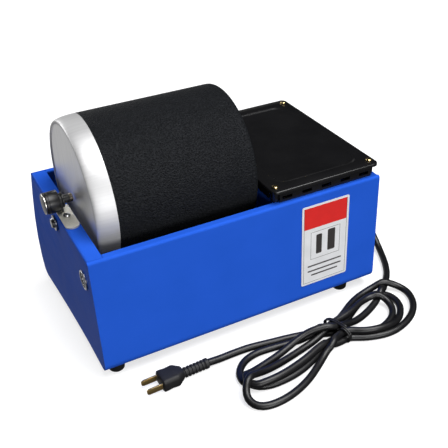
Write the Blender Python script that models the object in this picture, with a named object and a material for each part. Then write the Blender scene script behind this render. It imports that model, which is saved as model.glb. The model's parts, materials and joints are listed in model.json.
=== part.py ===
"""Bench rotary tumbler: a sheet-metal chassis, a barrel on two rollers, a belt-driven motor bay.

Everything is drawn in the chassis frame, in metres: x runs from the left end to the right end,
y from the front panel to the back panel, z up from the underside of the chassis floor. One empty,
tumbler_origin, carries every object so that the world origin is under the middle of the machine.
"""

import math

import bmesh
import bpy
from mathutils import Matrix, Vector

# Chassis
LENGTH = 0.290
DEPTH = 0.182
PANEL = 0.121  # height of the chassis sides
SHEET = 0.0012
GAP = 0.0003  # clearance between neighbouring solids
BOTTOM_BEND = 0.010
TOP_BEND = 0.0025
LIP = 0.0078  # width of the lips folded in along the front and back
FLANGE = 0.014  # width of the flanges folded in along the ends
BULKHEAD_X = 0.1770
FLARE = 0.0062  # how far the left end plate stands out towards its back edge

# Feet
FOOT_RADIUS = 0.008
FOOT_HEIGHT = 0.009
FOOT_POSITIONS = {
    "front_left": (0.0140, 0.0150),
    "front_right": (0.2590, 0.0150),
    "back_left": (0.0140, 0.1670),
    "back_right": (0.2590, 0.1670),
}

# Barrel
BARREL_Y = DEPTH / 2
BARREL_Z = 0.1365
BARREL_RADIUS = 0.069
BARREL_RIGHT = 0.171
CAP_LEFT = 0.018
CAP_WIDTH = 0.019
COVER_WALL = 0.0020
SHELL_WALL = 0.0030
LINER_WALL = 0.0030

# Rollers
SHAFT_RADIUS = 0.0040
ROLLER_RADIUS = 0.013
ROLLER_OFFSET = 0.069  # from the barrel's axis, forwards and backwards
ROLLER_REACH = BARREL_RADIUS + ROLLER_RADIUS + GAP
ROLLER_Z = BARREL_Z - math.sqrt(ROLLER_REACH**2 - ROLLER_OFFSET**2)
DRIVE_Y = BARREL_Y - ROLLER_OFFSET
IDLER_Y = BARREL_Y + ROLLER_OFFSET
ROLLER_LEFT = 0.0225
ROLLER_RIGHT = 0.1680
BEARING_RADIUS = 0.0080
BEARING_FLANGE = 0.0090
BEARING_WIDTH = 0.0050

# Motor and belt
MOTOR_Y = 0.110
MOTOR_Z = 0.052
MOTOR_RADIUS = 0.030
MOTOR_LEFT = 0.2160
MOTOR_LENGTH = 0.040
MOTOR_SHAFT_RADIUS = 0.0030
PULLEY_LEFT = 0.1920
PULLEY_WIDTH = 0.0100
DRIVE_PULLEY_RADIUS = 0.018
MOTOR_PULLEY_RADIUS = 0.008
GROOVE_DEPTH = 0.0030
BELT_WIDTH = 0.0050
BELT_THICKNESS = 0.0030
FAN_RADIUS = 0.024

# Motor cover
COVER_LEFT = 0.1745
COVER_RIGHT = 0.2895
COVER_FRONT = 0.0015
COVER_BACK = DEPTH - COVER_FRONT
COVER_RISE = 0.0134  # from the chassis top to the top of the cover
COVER_PLATE = 0.0030
TRAY_DEPTH = 0.0015
TRAY_MARGIN = 0.0125
TRAY_CORNER = 0.014
VENT_FIRST = 0.1900
VENT_PITCH = 0.0210
VENT_LENGTH = 0.0105
VENT_HEIGHT = 0.0032
VENT_COUNT = 5
COVER_SCREW_INSET = 0.0060
COVER_SCREW_SETBACK = 0.0090
POST_RADIUS = 0.0024
POST_COLLAR = 0.0040  # the posts are this wide above the chassis top
POST_BORE = 0.0015
COVER_SCREW_RADIUS = 0.0012

# End stop that keeps the barrel from walking left
STOP_Z = PANEL + 0.0124
STOP_RADIUS = 0.010
STOP_LEFT = -0.0080
STOP_RIGHT = 0.0044
STOP_HEAD = 0.0013
STOP_EAR = 0.0015
STOP_COLLAR = 0.0020
STOP_TIP = CAP_LEFT - 0.0010
SIDE_BOLT_Y = 0.098
SIDE_BOLT_Z = 0.108

# Switch
SWITCH_Y = 0.130
SWITCH_Z = 0.050
SWITCH_WIDTH = 0.015
SWITCH_HEIGHT = 0.021
SWITCH_TILT = math.radians(8)
ROCKER_HALF = 0.0072
ROCKER_RISE = 0.0042  # from the pivot to the tips of the rocker
ROCKER_PIVOT_X = LENGTH - 0.0010

# Mains lead: straight out of the right end, down to the bench, and into a tied hank
CORD_RADIUS = 0.0035
CORD_Z = CORD_RADIUS - FOOT_HEIGHT
GLAND_Y = 0.075
GLAND_Z = 0.028
GLAND_LENGTH = 0.025
LEAD_ROUTE = (
    (LENGTH + GLAND_LENGTH + GAP, GLAND_Y, GLAND_Z),
    (LENGTH + GLAND_LENGTH + 0.0065, GLAND_Y, GLAND_Z),
    (0.3285, 0.0722, 0.0245),
    (0.3328, 0.0680, 0.0186),
    (0.3355, 0.0615, 0.0118),
    (0.3356, 0.0520, 0.0040),
    (0.3330, 0.0410, -0.0012),
    (0.3288, 0.0300, -0.0040),
    (0.3235, 0.0190, CORD_Z + 0.0005),
    (0.3150, 0.0070, CORD_Z),
    (0.3045, -0.0055, CORD_Z),
)
TAIL_ROUTE = (
    (0.1211, -0.0257, CORD_Z),
    (0.1120, -0.0256, CORD_Z),
    (0.1000, -0.0261, CORD_Z + 0.0003),
    (0.0930, -0.0265, CORD_Z + 0.0011),
    (0.0875, -0.0268, CORD_Z + 0.0016),
)
# The edge of the bundle seen from above, from where the tail leaves it round to the same place
HANK_EDGE = (
    (0.1215, -0.0300),
    (0.1110, -0.0380),
    (0.1010, -0.0500),
    (0.0980, -0.0730),
    (0.0995, -0.0930),
    (0.1100, -0.1025),
    (0.1280, -0.1025),
    (0.1500, -0.0940),
    (0.1720, -0.0810),
    (0.1900, -0.0690),
    (0.2050, -0.0615),
    (0.2160, -0.0610),
    (0.2300, -0.0690),
    (0.2480, -0.0755),
    (0.2720, -0.0765),
    (0.2950, -0.0680),
    (0.3100, -0.0540),
    (0.3150, -0.0400),
    (0.3130, -0.0250),
    (0.3040, -0.0130),
    (0.2860, -0.0070),
    (0.2620, -0.0110),
    (0.2400, -0.0220),
    (0.2240, -0.0330),
    (0.2130, -0.0370),
    (0.1980, -0.0310),
    (0.1780, -0.0262),
    (0.1500, -0.0232),
    (0.1220, -0.0218),
)
HANK_HEIGHT = 0.0140
TIE_CENTRE = Vector((0.2125, -0.0482))
TIE_ALONG = Vector((0.955, 0.296)).normalized()
TIE_REACH = 0.0180
TIE_WIDTH = 0.0060
TIE_THICKNESS = 0.0012
PLUG_START = Vector(TAIL_ROUTE[-1])
PLUG_DIRECTION = Vector((-0.9990, -0.0450, 0.0)).normalized()
BOOT_LENGTH = 0.0260
PLUG_LENGTH = 0.022
PLUG_HALF_WIDTH = 0.0100
PLUG_HALF_HEIGHT = 0.0065
BLADE_LENGTH = 0.015
BLADE_SPACING = 0.0127
BLADE_WIDTH = 0.0062
BLADE_THICKNESS = 0.0015

# Label on the front panel
LABEL_LEFT = 0.2030
LABEL_BOTTOM = 0.0210
LABEL_WIDTH = 0.0525
LABEL_HEIGHT = 0.0900
LABEL_THICKNESS = 0.0002

# The machine's middle: the end stop reaches further out than the left end, the rocker than the right
OUTER_LEFT = STOP_LEFT - GAP - STOP_HEAD
ROCKER_OUT = ROCKER_RISE * math.cos(SWITCH_TILT) + ROCKER_HALF * math.sin(SWITCH_TILT)
OUTER_RIGHT = ROCKER_PIVOT_X + ROCKER_OUT
OUTER_FRONT = -GAP - LABEL_THICKNESS
MIDDLE = Vector(((OUTER_LEFT + OUTER_RIGHT) / 2, (OUTER_FRONT + DEPTH) / 2, -FOOT_HEIGHT))

# Sides of a round piece: the barrel, pieces about a finger wide, and screws
BARREL_SIDES = 48
ROUND_SIDES = 24
SMALL_SIDES = 12

AXES = {"x": (1, 2, 0), "y": (2, 0, 1), "z": (0, 1, 2)}

FINISHES = {
    "blue_paint": ((0.025, 0.110, 0.560), 0.35, 0.0),
    "black_paint": ((0.020, 0.020, 0.022), 0.30, 0.0),
    "leatherette": ((0.018, 0.019, 0.021), 0.60, 0.0),
    "brushed_cap": ((0.660, 0.660, 0.665), 0.32, 1.0),
    "bright_steel": ((0.560, 0.565, 0.580), 0.28, 1.0),
    "brass": ((0.720, 0.520, 0.210), 0.30, 1.0),
    "zinc_bracket": ((0.620, 0.610, 0.540), 0.45, 0.6),
    "black_rubber": ((0.020, 0.020, 0.021), 0.75, 0.0),
    "grey_rubber": ((0.120, 0.120, 0.125), 0.80, 0.0),
    "black_plastic": ((0.020, 0.020, 0.022), 0.45, 0.0),
    "white_plastic": ((0.640, 0.630, 0.600), 0.45, 0.0),
    "motor_iron": ((0.300, 0.300, 0.310), 0.50, 0.8),
    "label_film": ((0.860, 0.860, 0.860), 0.50, 0.0),
}


def clear_scene():
    for obj in list(bpy.data.objects):
        bpy.data.objects.remove(obj, do_unlink=True)


def finish_material(finish):
    material = bpy.data.materials.get(finish)
    if material is None:
        colour, roughness, metallic = FINISHES[finish]
        material = bpy.data.materials.new(finish)
        material.use_nodes = True
        shader = material.node_tree.nodes["Principled BSDF"]
        shader.inputs["Base Color"].default_value = (*colour, 1.0)
        shader.inputs["Roughness"].default_value = roughness
        shader.inputs["Metallic"].default_value = metallic
    return material


def make_root():
    root = bpy.data.objects.new("tumbler_origin", None)
    root.location = -MIDDLE
    bpy.context.scene.collection.objects.link(root)
    return root


def add_object(name, data, finish, origin=(0.0, 0.0, 0.0)):
    data.materials.append(finish_material(finish))
    obj = bpy.data.objects.new(name, data)
    obj.location = origin
    obj.parent = bpy.data.objects["tumbler_origin"]
    bpy.context.scene.collection.objects.link(obj)
    return obj


def add_mesh(name, points, faces, finish, origin=(0.0, 0.0, 0.0)):
    """A closed mesh from points in the chassis frame, with its own origin where asked."""
    shape = bmesh.new()
    made = [shape.verts.new(Vector(point) - Vector(origin)) for point in points]
    for face in faces:
        shape.faces.new([made[index] for index in face])
    bmesh.ops.recalc_face_normals(shape, faces=shape.faces)
    mesh = bpy.data.meshes.new(name)
    shape.to_mesh(mesh)
    shape.free()
    mesh.shade_smooth()
    mesh.set_sharp_from_angle(angle=math.radians(35))
    return add_object(name, mesh, finish, origin)


def prism(name, outline, axis, low, high, finish, origin=(0.0, 0.0, 0.0)):
    """An outline in the plane across an axis, extruded along that axis from low to high."""
    first, second, along = AXES[axis]
    points = []
    for level in (low, high):
        for a, b in outline:
            point = [0.0, 0.0, 0.0]
            point[first], point[second], point[along] = a, b, level
            points.append(point)
    count = len(outline)
    faces = [list(range(count)), list(range(count, 2 * count))]
    for i in range(count):
        j = (i + 1) % count
        faces.append([i, j, j + count, i + count])
    return add_mesh(name, points, faces, finish, origin)


def box(name, low, high, finish, origin=(0.0, 0.0, 0.0)):
    outline = rounded_rectangle(low[0], low[1], high[0], high[1], 0.0)
    return prism(name, outline, "z", low[2], high[2], finish, origin)


def turned(name, profile, centre, axis, finish, segments=ROUND_SIDES, origin=None):
    """A closed (along, radius) profile turned about an axis through centre."""
    first, second, along = AXES[axis]
    points = []
    rings = []
    for position, radius in profile:
        ring = []
        steps = 1 if radius == 0.0 else segments
        for step in range(steps):
            turn = 2 * math.pi * step / segments
            point = [centre[0], centre[1], centre[2]]
            point[along] = position
            point[first] += radius * math.cos(turn)
            point[second] += radius * math.sin(turn)
            ring.append(len(points))
            points.append(point)
        rings.append(ring)
    faces = []
    for here, there in zip(rings, rings[1:] + rings[:1]):
        if len(here) == 1 and len(there) == 1:
            continue
        for step in range(segments):
            after = (step + 1) % segments
            if len(here) == 1:
                faces.append([here[0], there[after], there[step]])
            elif len(there) == 1:
                faces.append([here[step], here[after], there[0]])
            else:
                faces.append([here[step], here[after], there[after], there[step]])
    return add_mesh(name, points, faces, finish, centre if origin is None else origin)


def hide_helper(obj):
    obj.hide_render = True
    obj.display_type = "WIRE"


def boolean(target, helper, operation):
    hide_helper(helper)
    modifier = target.modifiers.new(helper.name, "BOOLEAN")
    modifier.operation = operation
    modifier.solver = "EXACT"
    modifier.object = helper


def drill(target, axis, centre, radius, low, high):
    """A round hole through the target along an axis."""
    name = f"{target.name}_hole_{len(target.modifiers)}"
    profile = ((low, 0.0), (low, radius), (high, radius), (high, 0.0))
    sides = SMALL_SIDES if radius < 0.005 else ROUND_SIDES
    helper = turned(name, profile, centre, axis, "black_plastic", sides)
    boolean(target, helper, "DIFFERENCE")


def arc(centre, radius, start, end, steps):
    """Points on an arc, in degrees, with both ends."""
    points = []
    for step in range(steps + 1):
        turn = math.radians(start + (end - start) * step / steps)
        points.append((centre[0] + radius * math.cos(turn), centre[1] + radius * math.sin(turn)))
    return points


def rounded_rectangle(left, bottom, right, top, radius, steps=5):
    if radius == 0.0:
        return [(left, bottom), (right, bottom), (right, top), (left, top)]
    corners = (
        (right - radius, bottom + radius, -90),
        (right - radius, top - radius, 0),
        (left + radius, top - radius, 90),
        (left + radius, bottom + radius, 180),
    )
    outline = []
    for x, y, start in corners:
        outline += arc((x, y), radius, start, start + 90, steps)
    return outline


def smooth_path(points, spacing):
    """Evenly spaced points on a smooth curve through the route's own points."""
    knots = [Vector(point) for point in points]
    knots = [2 * knots[0] - knots[1], *knots, 2 * knots[-1] - knots[-2]]
    dense = []
    for a, b, c, d in zip(knots, knots[1:], knots[2:], knots[3:]):
        for step in range(12):
            t = step / 12
            dense.append(
                0.5
                * (
                    2 * b
                    + (c - a) * t
                    + (2 * a - 5 * b + 4 * c - d) * t**2
                    + (3 * b - a - 3 * c + d) * t**3
                )
            )
    dense.append(knots[-2])
    lengths = [0.0]
    for before, after in zip(dense, dense[1:]):
        lengths.append(lengths[-1] + (after - before).length)
    count = max(2, round(lengths[-1] / spacing))
    path = []
    index = 0
    for step in range(count + 1):
        wanted = lengths[-1] * step / count
        while index < len(lengths) - 2 and lengths[index + 1] < wanted:
            index += 1
        share = (wanted - lengths[index]) / (lengths[index + 1] - lengths[index])
        path.append(dense[index].lerp(dense[index + 1], share))
    return path


def tube(name, route, radius, finish, spacing):
    curve = bpy.data.curves.new(name, "CURVE")
    curve.dimensions = "3D"
    curve.bevel_depth = radius
    curve.bevel_resolution = 2
    curve.use_fill_caps = True
    path = smooth_path(route, spacing)
    spline = curve.splines.new("POLY")
    spline.points.add(len(path) - 1)
    for point, place in zip(spline.points, path):
        point.co = (*place, 1.0)
    return add_object(name, curve, finish)


def chassis_wrap():
    """Front panel, floor and back panel folded from one sheet, with lips along both top edges."""

    def skin(inset):
        low, high = inset, PANEL - inset
        bottom, top = BOTTOM_BEND - inset, TOP_BEND - inset
        front, back = inset, DEPTH - inset
        path = [(LIP, high)]
        path += arc((front + top, high - top), top, 90, 180, 4)
        path += arc((front + bottom, low + bottom), bottom, 180, 270, 8)
        path += arc((back - bottom, low + bottom), bottom, 270, 360, 8)
        path += arc((back - top, high - top), top, 0, 90, 4)
        path += [(DEPTH - LIP, high)]
        return path

    outline = skin(0.0) + skin(SHEET)[::-1]
    wrap = prism("chassis_wrap", outline, "x", 0.0, LENGTH, "blue_paint")
    notch_inner = TOP_BEND + GAP
    for end, left in (("left", -FLANGE), ("right", LENGTH - FLANGE - GAP)):
        for side, front in (("front", notch_inner), ("back", DEPTH - notch_inner - FLANGE)):
            low = (left, front, PANEL - 2 * SHEET)
            high = (left + 2 * FLANGE + GAP, front + FLANGE, PANEL + SHEET)
            notch = box(f"notch_{end}_{side}", low, high, "blue_paint")
            boolean(wrap, notch, "DIFFERENCE")
    for x, y in FOOT_POSITIONS.values():
        drill(wrap, "z", (x, y, 0.0), 0.0024, -SHEET, 2 * SHEET)
    return wrap


def folded_plate(name, outer, side, top, flange_front):
    """An upright plate with a flange folded in along its top; side is 1 for a flange towards +x."""
    inset = SHEET + GAP
    corner = BOTTOM_BEND - inset
    fold = TOP_BEND
    outline = arc((inset + corner, inset + corner), corner, 180, 270, 6)
    outline += arc((DEPTH - inset - corner, inset + corner), corner, 270, 360, 6)
    outline += [(DEPTH - inset, top - fold - SHEET), (inset, top - fold - SHEET)]
    low, high = sorted((outer, outer + side * SHEET))
    plate = prism(name, outline, "x", low, high, "blue_paint")
    bend = 0.0020
    profile = [(FLANGE, top)]
    profile += arc((bend, top - bend), bend, 90, 180, 4)
    profile += [(0.0, top - 4 * fold), (SHEET, top - 4 * fold)]
    profile += arc((bend, top - bend), bend - SHEET, 180, 90, 4)
    profile += [(FLANGE, top - SHEET)]
    # The y axis runs (z, x), so the profile's pairs are turned round.
    profile = [(z, outer + side * x) for x, z in profile]
    flange = prism(f"{name}_flange", profile, "y", flange_front, DEPTH - flange_front, "blue_paint")
    boolean(plate, flange, "UNION")
    return plate


def plate_flare(y, z):
    """How far the left end plate's outer face stands out from its front edge's plane."""
    drop = max(0.0, 1.0 - z / PANEL)
    return FLARE * (y / DEPTH) ** 2 * math.sin(2.25 * drop)


def flare_out(plate):
    """Cuts the plate into a grid and bends it outwards towards the bottom of its back edge."""
    shape = bmesh.new()
    shape.from_mesh(plate.data)
    origin = plate.location
    for share in (0.2, 0.4, 0.6, 0.8):
        for direction, place in ((1, DEPTH * share), (2, PANEL * share)):
            normal = Vector((0.0, 0.0, 0.0))
            normal[direction] = 1.0
            point = Vector((0.0, 0.0, 0.0))
            point[direction] = place
            bmesh.ops.bisect_plane(
                shape,
                geom=shape.verts[:] + shape.edges[:] + shape.faces[:],
                plane_co=point - origin,
                plane_no=normal,
            )
    for vertex in shape.verts:
        place = vertex.co + origin
        vertex.co.x -= plate_flare(place.y, place.z)
    bmesh.ops.triangulate(shape, faces=shape.faces)
    shape.to_mesh(plate.data)
    shape.free()


def end_plates():
    flange_front = TOP_BEND + 2 * GAP
    left = folded_plate("left_end_plate", 0.0, 1, PANEL, flange_front)
    flare_out(left)
    drill(left, "x", (0.0, DRIVE_Y, ROLLER_Z), BEARING_RADIUS + GAP, -SHEET, 3 * SHEET)
    drill(left, "x", (0.0, SIDE_BOLT_Y, SIDE_BOLT_Z), 0.0034, -SHEET, 3 * SHEET)
    drill(left, "z", (0.0070, 0.0790, 0.0), 0.0023, PANEL - 3 * SHEET, PANEL + SHEET)
    right = folded_plate("right_end_plate", LENGTH, -1, PANEL, flange_front)
    low = LENGTH - 3 * SHEET
    drill(right, "x", (0.0, GLAND_Y, GLAND_Z), 0.0060 + GAP, low, LENGTH + SHEET)
    cutout = box(
        "switch_cutout",
        (low, SWITCH_Y - SWITCH_WIDTH / 2 + 0.001, SWITCH_Z - SWITCH_HEIGHT / 2 + 0.001),
        (LENGTH + SHEET, SWITCH_Y + SWITCH_WIDTH / 2 - 0.001, SWITCH_Z + SWITCH_HEIGHT / 2 - 0.001),
        "black_plastic",
    )
    boolean(right, cutout, "DIFFERENCE")


def bulkhead():
    top = PANEL - SHEET - GAP
    plate = folded_plate("bulkhead", BULKHEAD_X, 1, top, TOP_BEND)
    low, high = BULKHEAD_X - SHEET, BULKHEAD_X + 3 * SHEET
    for y in (DRIVE_Y, IDLER_Y):
        drill(plate, "x", (0.0, y, ROLLER_Z), BEARING_RADIUS + GAP, low, high)


def feet():
    for place, (x, y) in FOOT_POSITIONS.items():
        profile = (
            (-GAP, 0.0024),
            (-GAP, FOOT_RADIUS),
            (-FOOT_HEIGHT + 0.001, FOOT_RADIUS - 0.0006),
            (-FOOT_HEIGHT, FOOT_RADIUS - 0.0014),
            (-FOOT_HEIGHT, 0.0042),
            (-0.0050, 0.0042),
            (-0.0050, 0.0024),
        )
        turned(f"foot_{place}", profile, (x, y, 0.0), "z", "black_rubber")
        profile = (
            (-0.0078, 0.0),
            (-0.0078, 0.0034),
            (-0.0053, 0.0034),
            (-0.0053, 0.0019),
            (0.0050, 0.0019),
            (0.0050, 0.0),
        )
        turned(f"foot_screw_{place}", profile, (x, y, 0.0), "z", "bright_steel", SMALL_SIDES)


def flanged_bearing(name, face, side, y):
    """A bearing whose flange sits on the plate face at `face`; side points through the plate."""
    profile = (
        (face - side * (GAP + 0.0010), SHAFT_RADIUS + GAP),
        (face - side * (GAP + 0.0010), BEARING_FLANGE),
        (face - side * GAP, BEARING_FLANGE),
        (face - side * GAP, BEARING_RADIUS),
        (face + side * BEARING_WIDTH, BEARING_RADIUS),
        (face + side * BEARING_WIDTH, SHAFT_RADIUS + GAP),
    )
    turned(name, profile, (0.0, y, ROLLER_Z), "x", "bright_steel")


def roller_shafts():
    rollers = (
        ("drive", DRIVE_Y, -0.0006, 0.2080),
        ("idler", IDLER_Y, SHEET + 2 * GAP, 0.1900),
    )
    for name, y, left, right in rollers:
        centre = (0.0, y, ROLLER_Z)
        chamfer = 0.0005
        profile = (
            (left, 0.0),
            (left, SHAFT_RADIUS - chamfer),
            (left + chamfer, SHAFT_RADIUS),
            (right - chamfer, SHAFT_RADIUS),
            (right, SHAFT_RADIUS - chamfer),
            (right, 0.0),
        )
        turned(f"{name}_shaft", profile, centre, "x", "bright_steel")
        profile = (
            (ROLLER_LEFT, SHAFT_RADIUS + GAP),
            (ROLLER_LEFT, ROLLER_RADIUS),
            (ROLLER_RIGHT, ROLLER_RADIUS),
            (ROLLER_RIGHT, SHAFT_RADIUS + GAP),
        )
        turned(f"{name}_roller_sleeve", profile, centre, "x", "black_rubber", 36)
    flanged_bearing("drive_bearing_left", 0.0, 1, DRIVE_Y)
    flanged_bearing("drive_bearing_right", BULKHEAD_X + SHEET, -1, DRIVE_Y)
    flanged_bearing("idler_bearing_right", BULKHEAD_X + SHEET, -1, IDLER_Y)
    flare = plate_flare(IDLER_Y - BEARING_FLANGE, ROLLER_Z + BEARING_FLANGE)
    left = SHEET + GAP - flare
    profile = (
        (left, SHAFT_RADIUS + GAP),
        (left, BEARING_FLANGE),
        (left + BEARING_WIDTH, BEARING_FLANGE),
        (left + BEARING_WIDTH, SHAFT_RADIUS + GAP),
    )
    turned("idler_bearing_left", profile, (0.0, IDLER_Y, ROLLER_Z), "x", "bright_steel")


def barrel():
    centre = (0.0, BARREL_Y, BARREL_Z)
    ring_right = CAP_LEFT + CAP_WIDTH
    cover_inner = BARREL_RADIUS - COVER_WALL
    edge = 0.0040
    inside = BARREL_RIGHT - COVER_WALL
    profile = [(ring_right + GAP, cover_inner), (ring_right + GAP, BARREL_RADIUS)]
    corner = (BARREL_RIGHT - edge, BARREL_RADIUS - edge)
    profile += arc(corner, edge, 90, 0, 4)
    profile += [(BARREL_RIGHT, 0.0), (inside, 0.0), (inside, cover_inner)]
    turned("barrel_cover", profile, centre, "x", "leatherette", BARREL_SIDES)

    neck = CAP_LEFT + 0.0080
    shell_outer = cover_inner - GAP
    shell_inner = shell_outer - SHELL_WALL
    shell_right = inside - GAP
    profile = (
        (neck, shell_inner),
        (neck, shell_outer),
        (shell_right - 0.0025, shell_outer),
        (shell_right, shell_outer - 0.0025),
        (shell_right, 0.0),
        (shell_right - SHELL_WALL, 0.0),
        (shell_right - SHELL_WALL, shell_inner),
    )
    turned("barrel_shell", profile, centre, "x", "black_plastic", BARREL_SIDES)

    liner_outer = shell_inner - GAP
    liner_inner = liner_outer - LINER_WALL
    liner_right = shell_right - SHELL_WALL - GAP
    profile = (
        (neck, liner_inner),
        (neck, liner_outer),
        (liner_right, liner_outer),
        (liner_right, 0.0),
        (liner_right - LINER_WALL, 0.0),
        (liner_right - LINER_WALL, liner_inner),
    )
    turned("barrel_liner", profile, centre, "x", "grey_rubber", BARREL_SIDES)

    face = CAP_LEFT + 0.0012
    back = CAP_LEFT + 0.0042
    profile = (
        (face, 0.0),
        (face, BARREL_RADIUS - 0.0062),
        (CAP_LEFT, BARREL_RADIUS - 0.0052),
        (CAP_LEFT, BARREL_RADIUS - 0.0036),
        (CAP_LEFT + 0.0020, BARREL_RADIUS - 0.0022),
        (CAP_LEFT + 0.0070, BARREL_RADIUS - 0.0010),
        (CAP_LEFT + 0.0130, BARREL_RADIUS - 0.0003),
        (ring_right, BARREL_RADIUS),
        (ring_right, shell_outer + GAP),
        (back, shell_outer + GAP),
        (back, 0.0),
    )
    turned("lid_cap", profile, centre, "x", "brushed_cap", BARREL_SIDES)

    profile = (
        (back + GAP, liner_inner),
        (back + GAP, shell_outer - 0.0008),
        (neck - GAP, shell_outer - 0.0008),
        (neck - GAP, liner_inner),
    )
    turned("lid_seal", profile, centre, "x", "grey_rubber", BARREL_SIDES)


def pulley(name, y, z, radius, bore):
    left, right = PULLEY_LEFT, PULLEY_LEFT + PULLEY_WIDTH
    middle = (left + right) / 2
    half = BELT_WIDTH / 2 + 2 * GAP
    profile = (
        (left, bore + GAP),
        (left, radius),
        (middle - half - 0.0005, radius),
        (middle - half, radius - GROOVE_DEPTH),
        (middle + half, radius - GROOVE_DEPTH),
        (middle + half + 0.0005, radius),
        (right, radius),
        (right, bore + GAP),
    )
    turned(name, profile, (0.0, y, z), "x", "bright_steel")


def belt_loop(grow):
    """The belt's side view: arcs round both pulleys, joined by their common tangents."""
    drive = Vector((DRIVE_Y, ROLLER_Z))
    motor = Vector((MOTOR_Y, MOTOR_Z))
    large = DRIVE_PULLEY_RADIUS - GROOVE_DEPTH + GAP + grow
    small = MOTOR_PULLEY_RADIUS - GROOVE_DEPTH + GAP + grow
    span = motor - drive
    heading = math.degrees(math.atan2(span.y, span.x))
    tangent = math.degrees(math.acos((large - small) / span.length))
    outline = arc(drive, large, heading + tangent, heading + 360 - tangent, 20)
    outline += arc(motor, small, heading - tangent, heading + tangent, 12)
    return outline


def belt_drive():
    pulley("drive_pulley", DRIVE_Y, ROLLER_Z, DRIVE_PULLEY_RADIUS, SHAFT_RADIUS)
    pulley("motor_pulley", MOTOR_Y, MOTOR_Z, MOTOR_PULLEY_RADIUS, MOTOR_SHAFT_RADIUS)
    inner = belt_loop(0.0)
    outer = belt_loop(BELT_THICKNESS)
    middle = PULLEY_LEFT + PULLEY_WIDTH / 2
    points = []
    for x in (middle - BELT_WIDTH / 2, middle + BELT_WIDTH / 2):
        for loop in (inner, outer):
            points += [(x, y, z) for y, z in loop]
    count = len(inner)
    faces = []
    for i in range(count):
        j = (i + 1) % count
        for here, there in ((0, 1), (1, 3), (3, 2), (2, 0)):
            a, b = here * count, there * count
            faces.append([a + i, a + j, b + j, b + i])
    add_mesh("drive_belt", points, faces, "black_rubber")


def motor():
    centre = (0.0, MOTOR_Y, MOTOR_Z)
    bore = MOTOR_SHAFT_RADIUS + GAP
    right = MOTOR_LEFT + MOTOR_LENGTH
    profile = (
        (MOTOR_LEFT, bore),
        (MOTOR_LEFT, MOTOR_RADIUS - 0.002),
        (MOTOR_LEFT + 0.002, MOTOR_RADIUS),
        (right, MOTOR_RADIUS),
        (right, MOTOR_RADIUS - 0.003),
        (right + 0.0030, MOTOR_RADIUS - 0.006),
        (right + 0.0030, 0.008),
        (right + 0.0060, 0.008),
        (right + 0.0060, bore),
    )
    turned("motor_body", profile, centre, "x", "motor_iron")
    shaft_left, shaft_right = PULLEY_LEFT - 0.004, right + 0.017
    profile = (
        (shaft_left, 0.0),
        (shaft_left, MOTOR_SHAFT_RADIUS),
        (shaft_right, MOTOR_SHAFT_RADIUS),
        (shaft_right, 0.0),
    )
    turned("motor_shaft", profile, centre, "x", "bright_steel")

    plate_right = MOTOR_LEFT - GAP
    plate_left = plate_right - 0.0015
    foot_top = SHEET + GAP + 0.0015
    outline = rounded_rectangle(
        MOTOR_Y - MOTOR_RADIUS, SHEET + GAP, MOTOR_Y + MOTOR_RADIUS, MOTOR_Z + MOTOR_RADIUS, 0.0
    )
    bracket = prism("motor_bracket", outline, "x", plate_left, plate_right, "bright_steel")
    base = box(
        "motor_bracket_base",
        (plate_left - 0.015, MOTOR_Y - MOTOR_RADIUS, SHEET + GAP),
        (plate_right, MOTOR_Y + MOTOR_RADIUS, foot_top),
        "bright_steel",
    )
    boolean(bracket, base, "UNION")
    drill(bracket, "x", centre, 0.0100, plate_left - SHEET, plate_right + SHEET)


def fan():
    """A blower wheel: paddles round a hub, bored for the motor shaft."""
    centre = Vector((MOTOR_Y, MOTOR_Z))
    paddles, steps = 8, 4
    left = MOTOR_LEFT + MOTOR_LENGTH + 0.0080
    right = left + 0.0070
    outer, inner = [], []
    for step in range(paddles * steps):
        turn = 2 * math.pi * step / (paddles * steps)
        swing = step % steps
        radius = FAN_RADIUS if swing == 0 else 0.0090
        lean = 0.20 if swing == 0 else 0.0
        outer.append(centre + radius * Vector((math.cos(turn + lean), math.sin(turn + lean))))
        inner.append(centre + (MOTOR_SHAFT_RADIUS + GAP) * Vector((math.cos(turn), math.sin(turn))))
    points = []
    for x in (left, right):
        for loop in (inner, outer):
            points += [(x, y, z) for y, z in loop]
    count = len(inner)
    faces = []
    for i in range(count):
        j = (i + 1) % count
        for here, there in ((0, 1), (1, 3), (3, 2), (2, 0)):
            a, b = here * count, there * count
            faces.append([a + i, a + j, b + j, b + i])
    origin = (0.0, MOTOR_Y, MOTOR_Z)
    add_mesh("cooling_fan", points, faces, "white_plastic", origin)


def cover_corners():
    left, right = COVER_LEFT + COVER_SCREW_INSET, COVER_RIGHT - COVER_SCREW_INSET
    front, back = COVER_FRONT + COVER_SCREW_SETBACK, COVER_BACK - COVER_SCREW_SETBACK
    return {
        "front_left": (left, front),
        "front_right": (right, front),
        "back_left": (left, back),
        "back_right": (right, back),
    }


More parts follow.
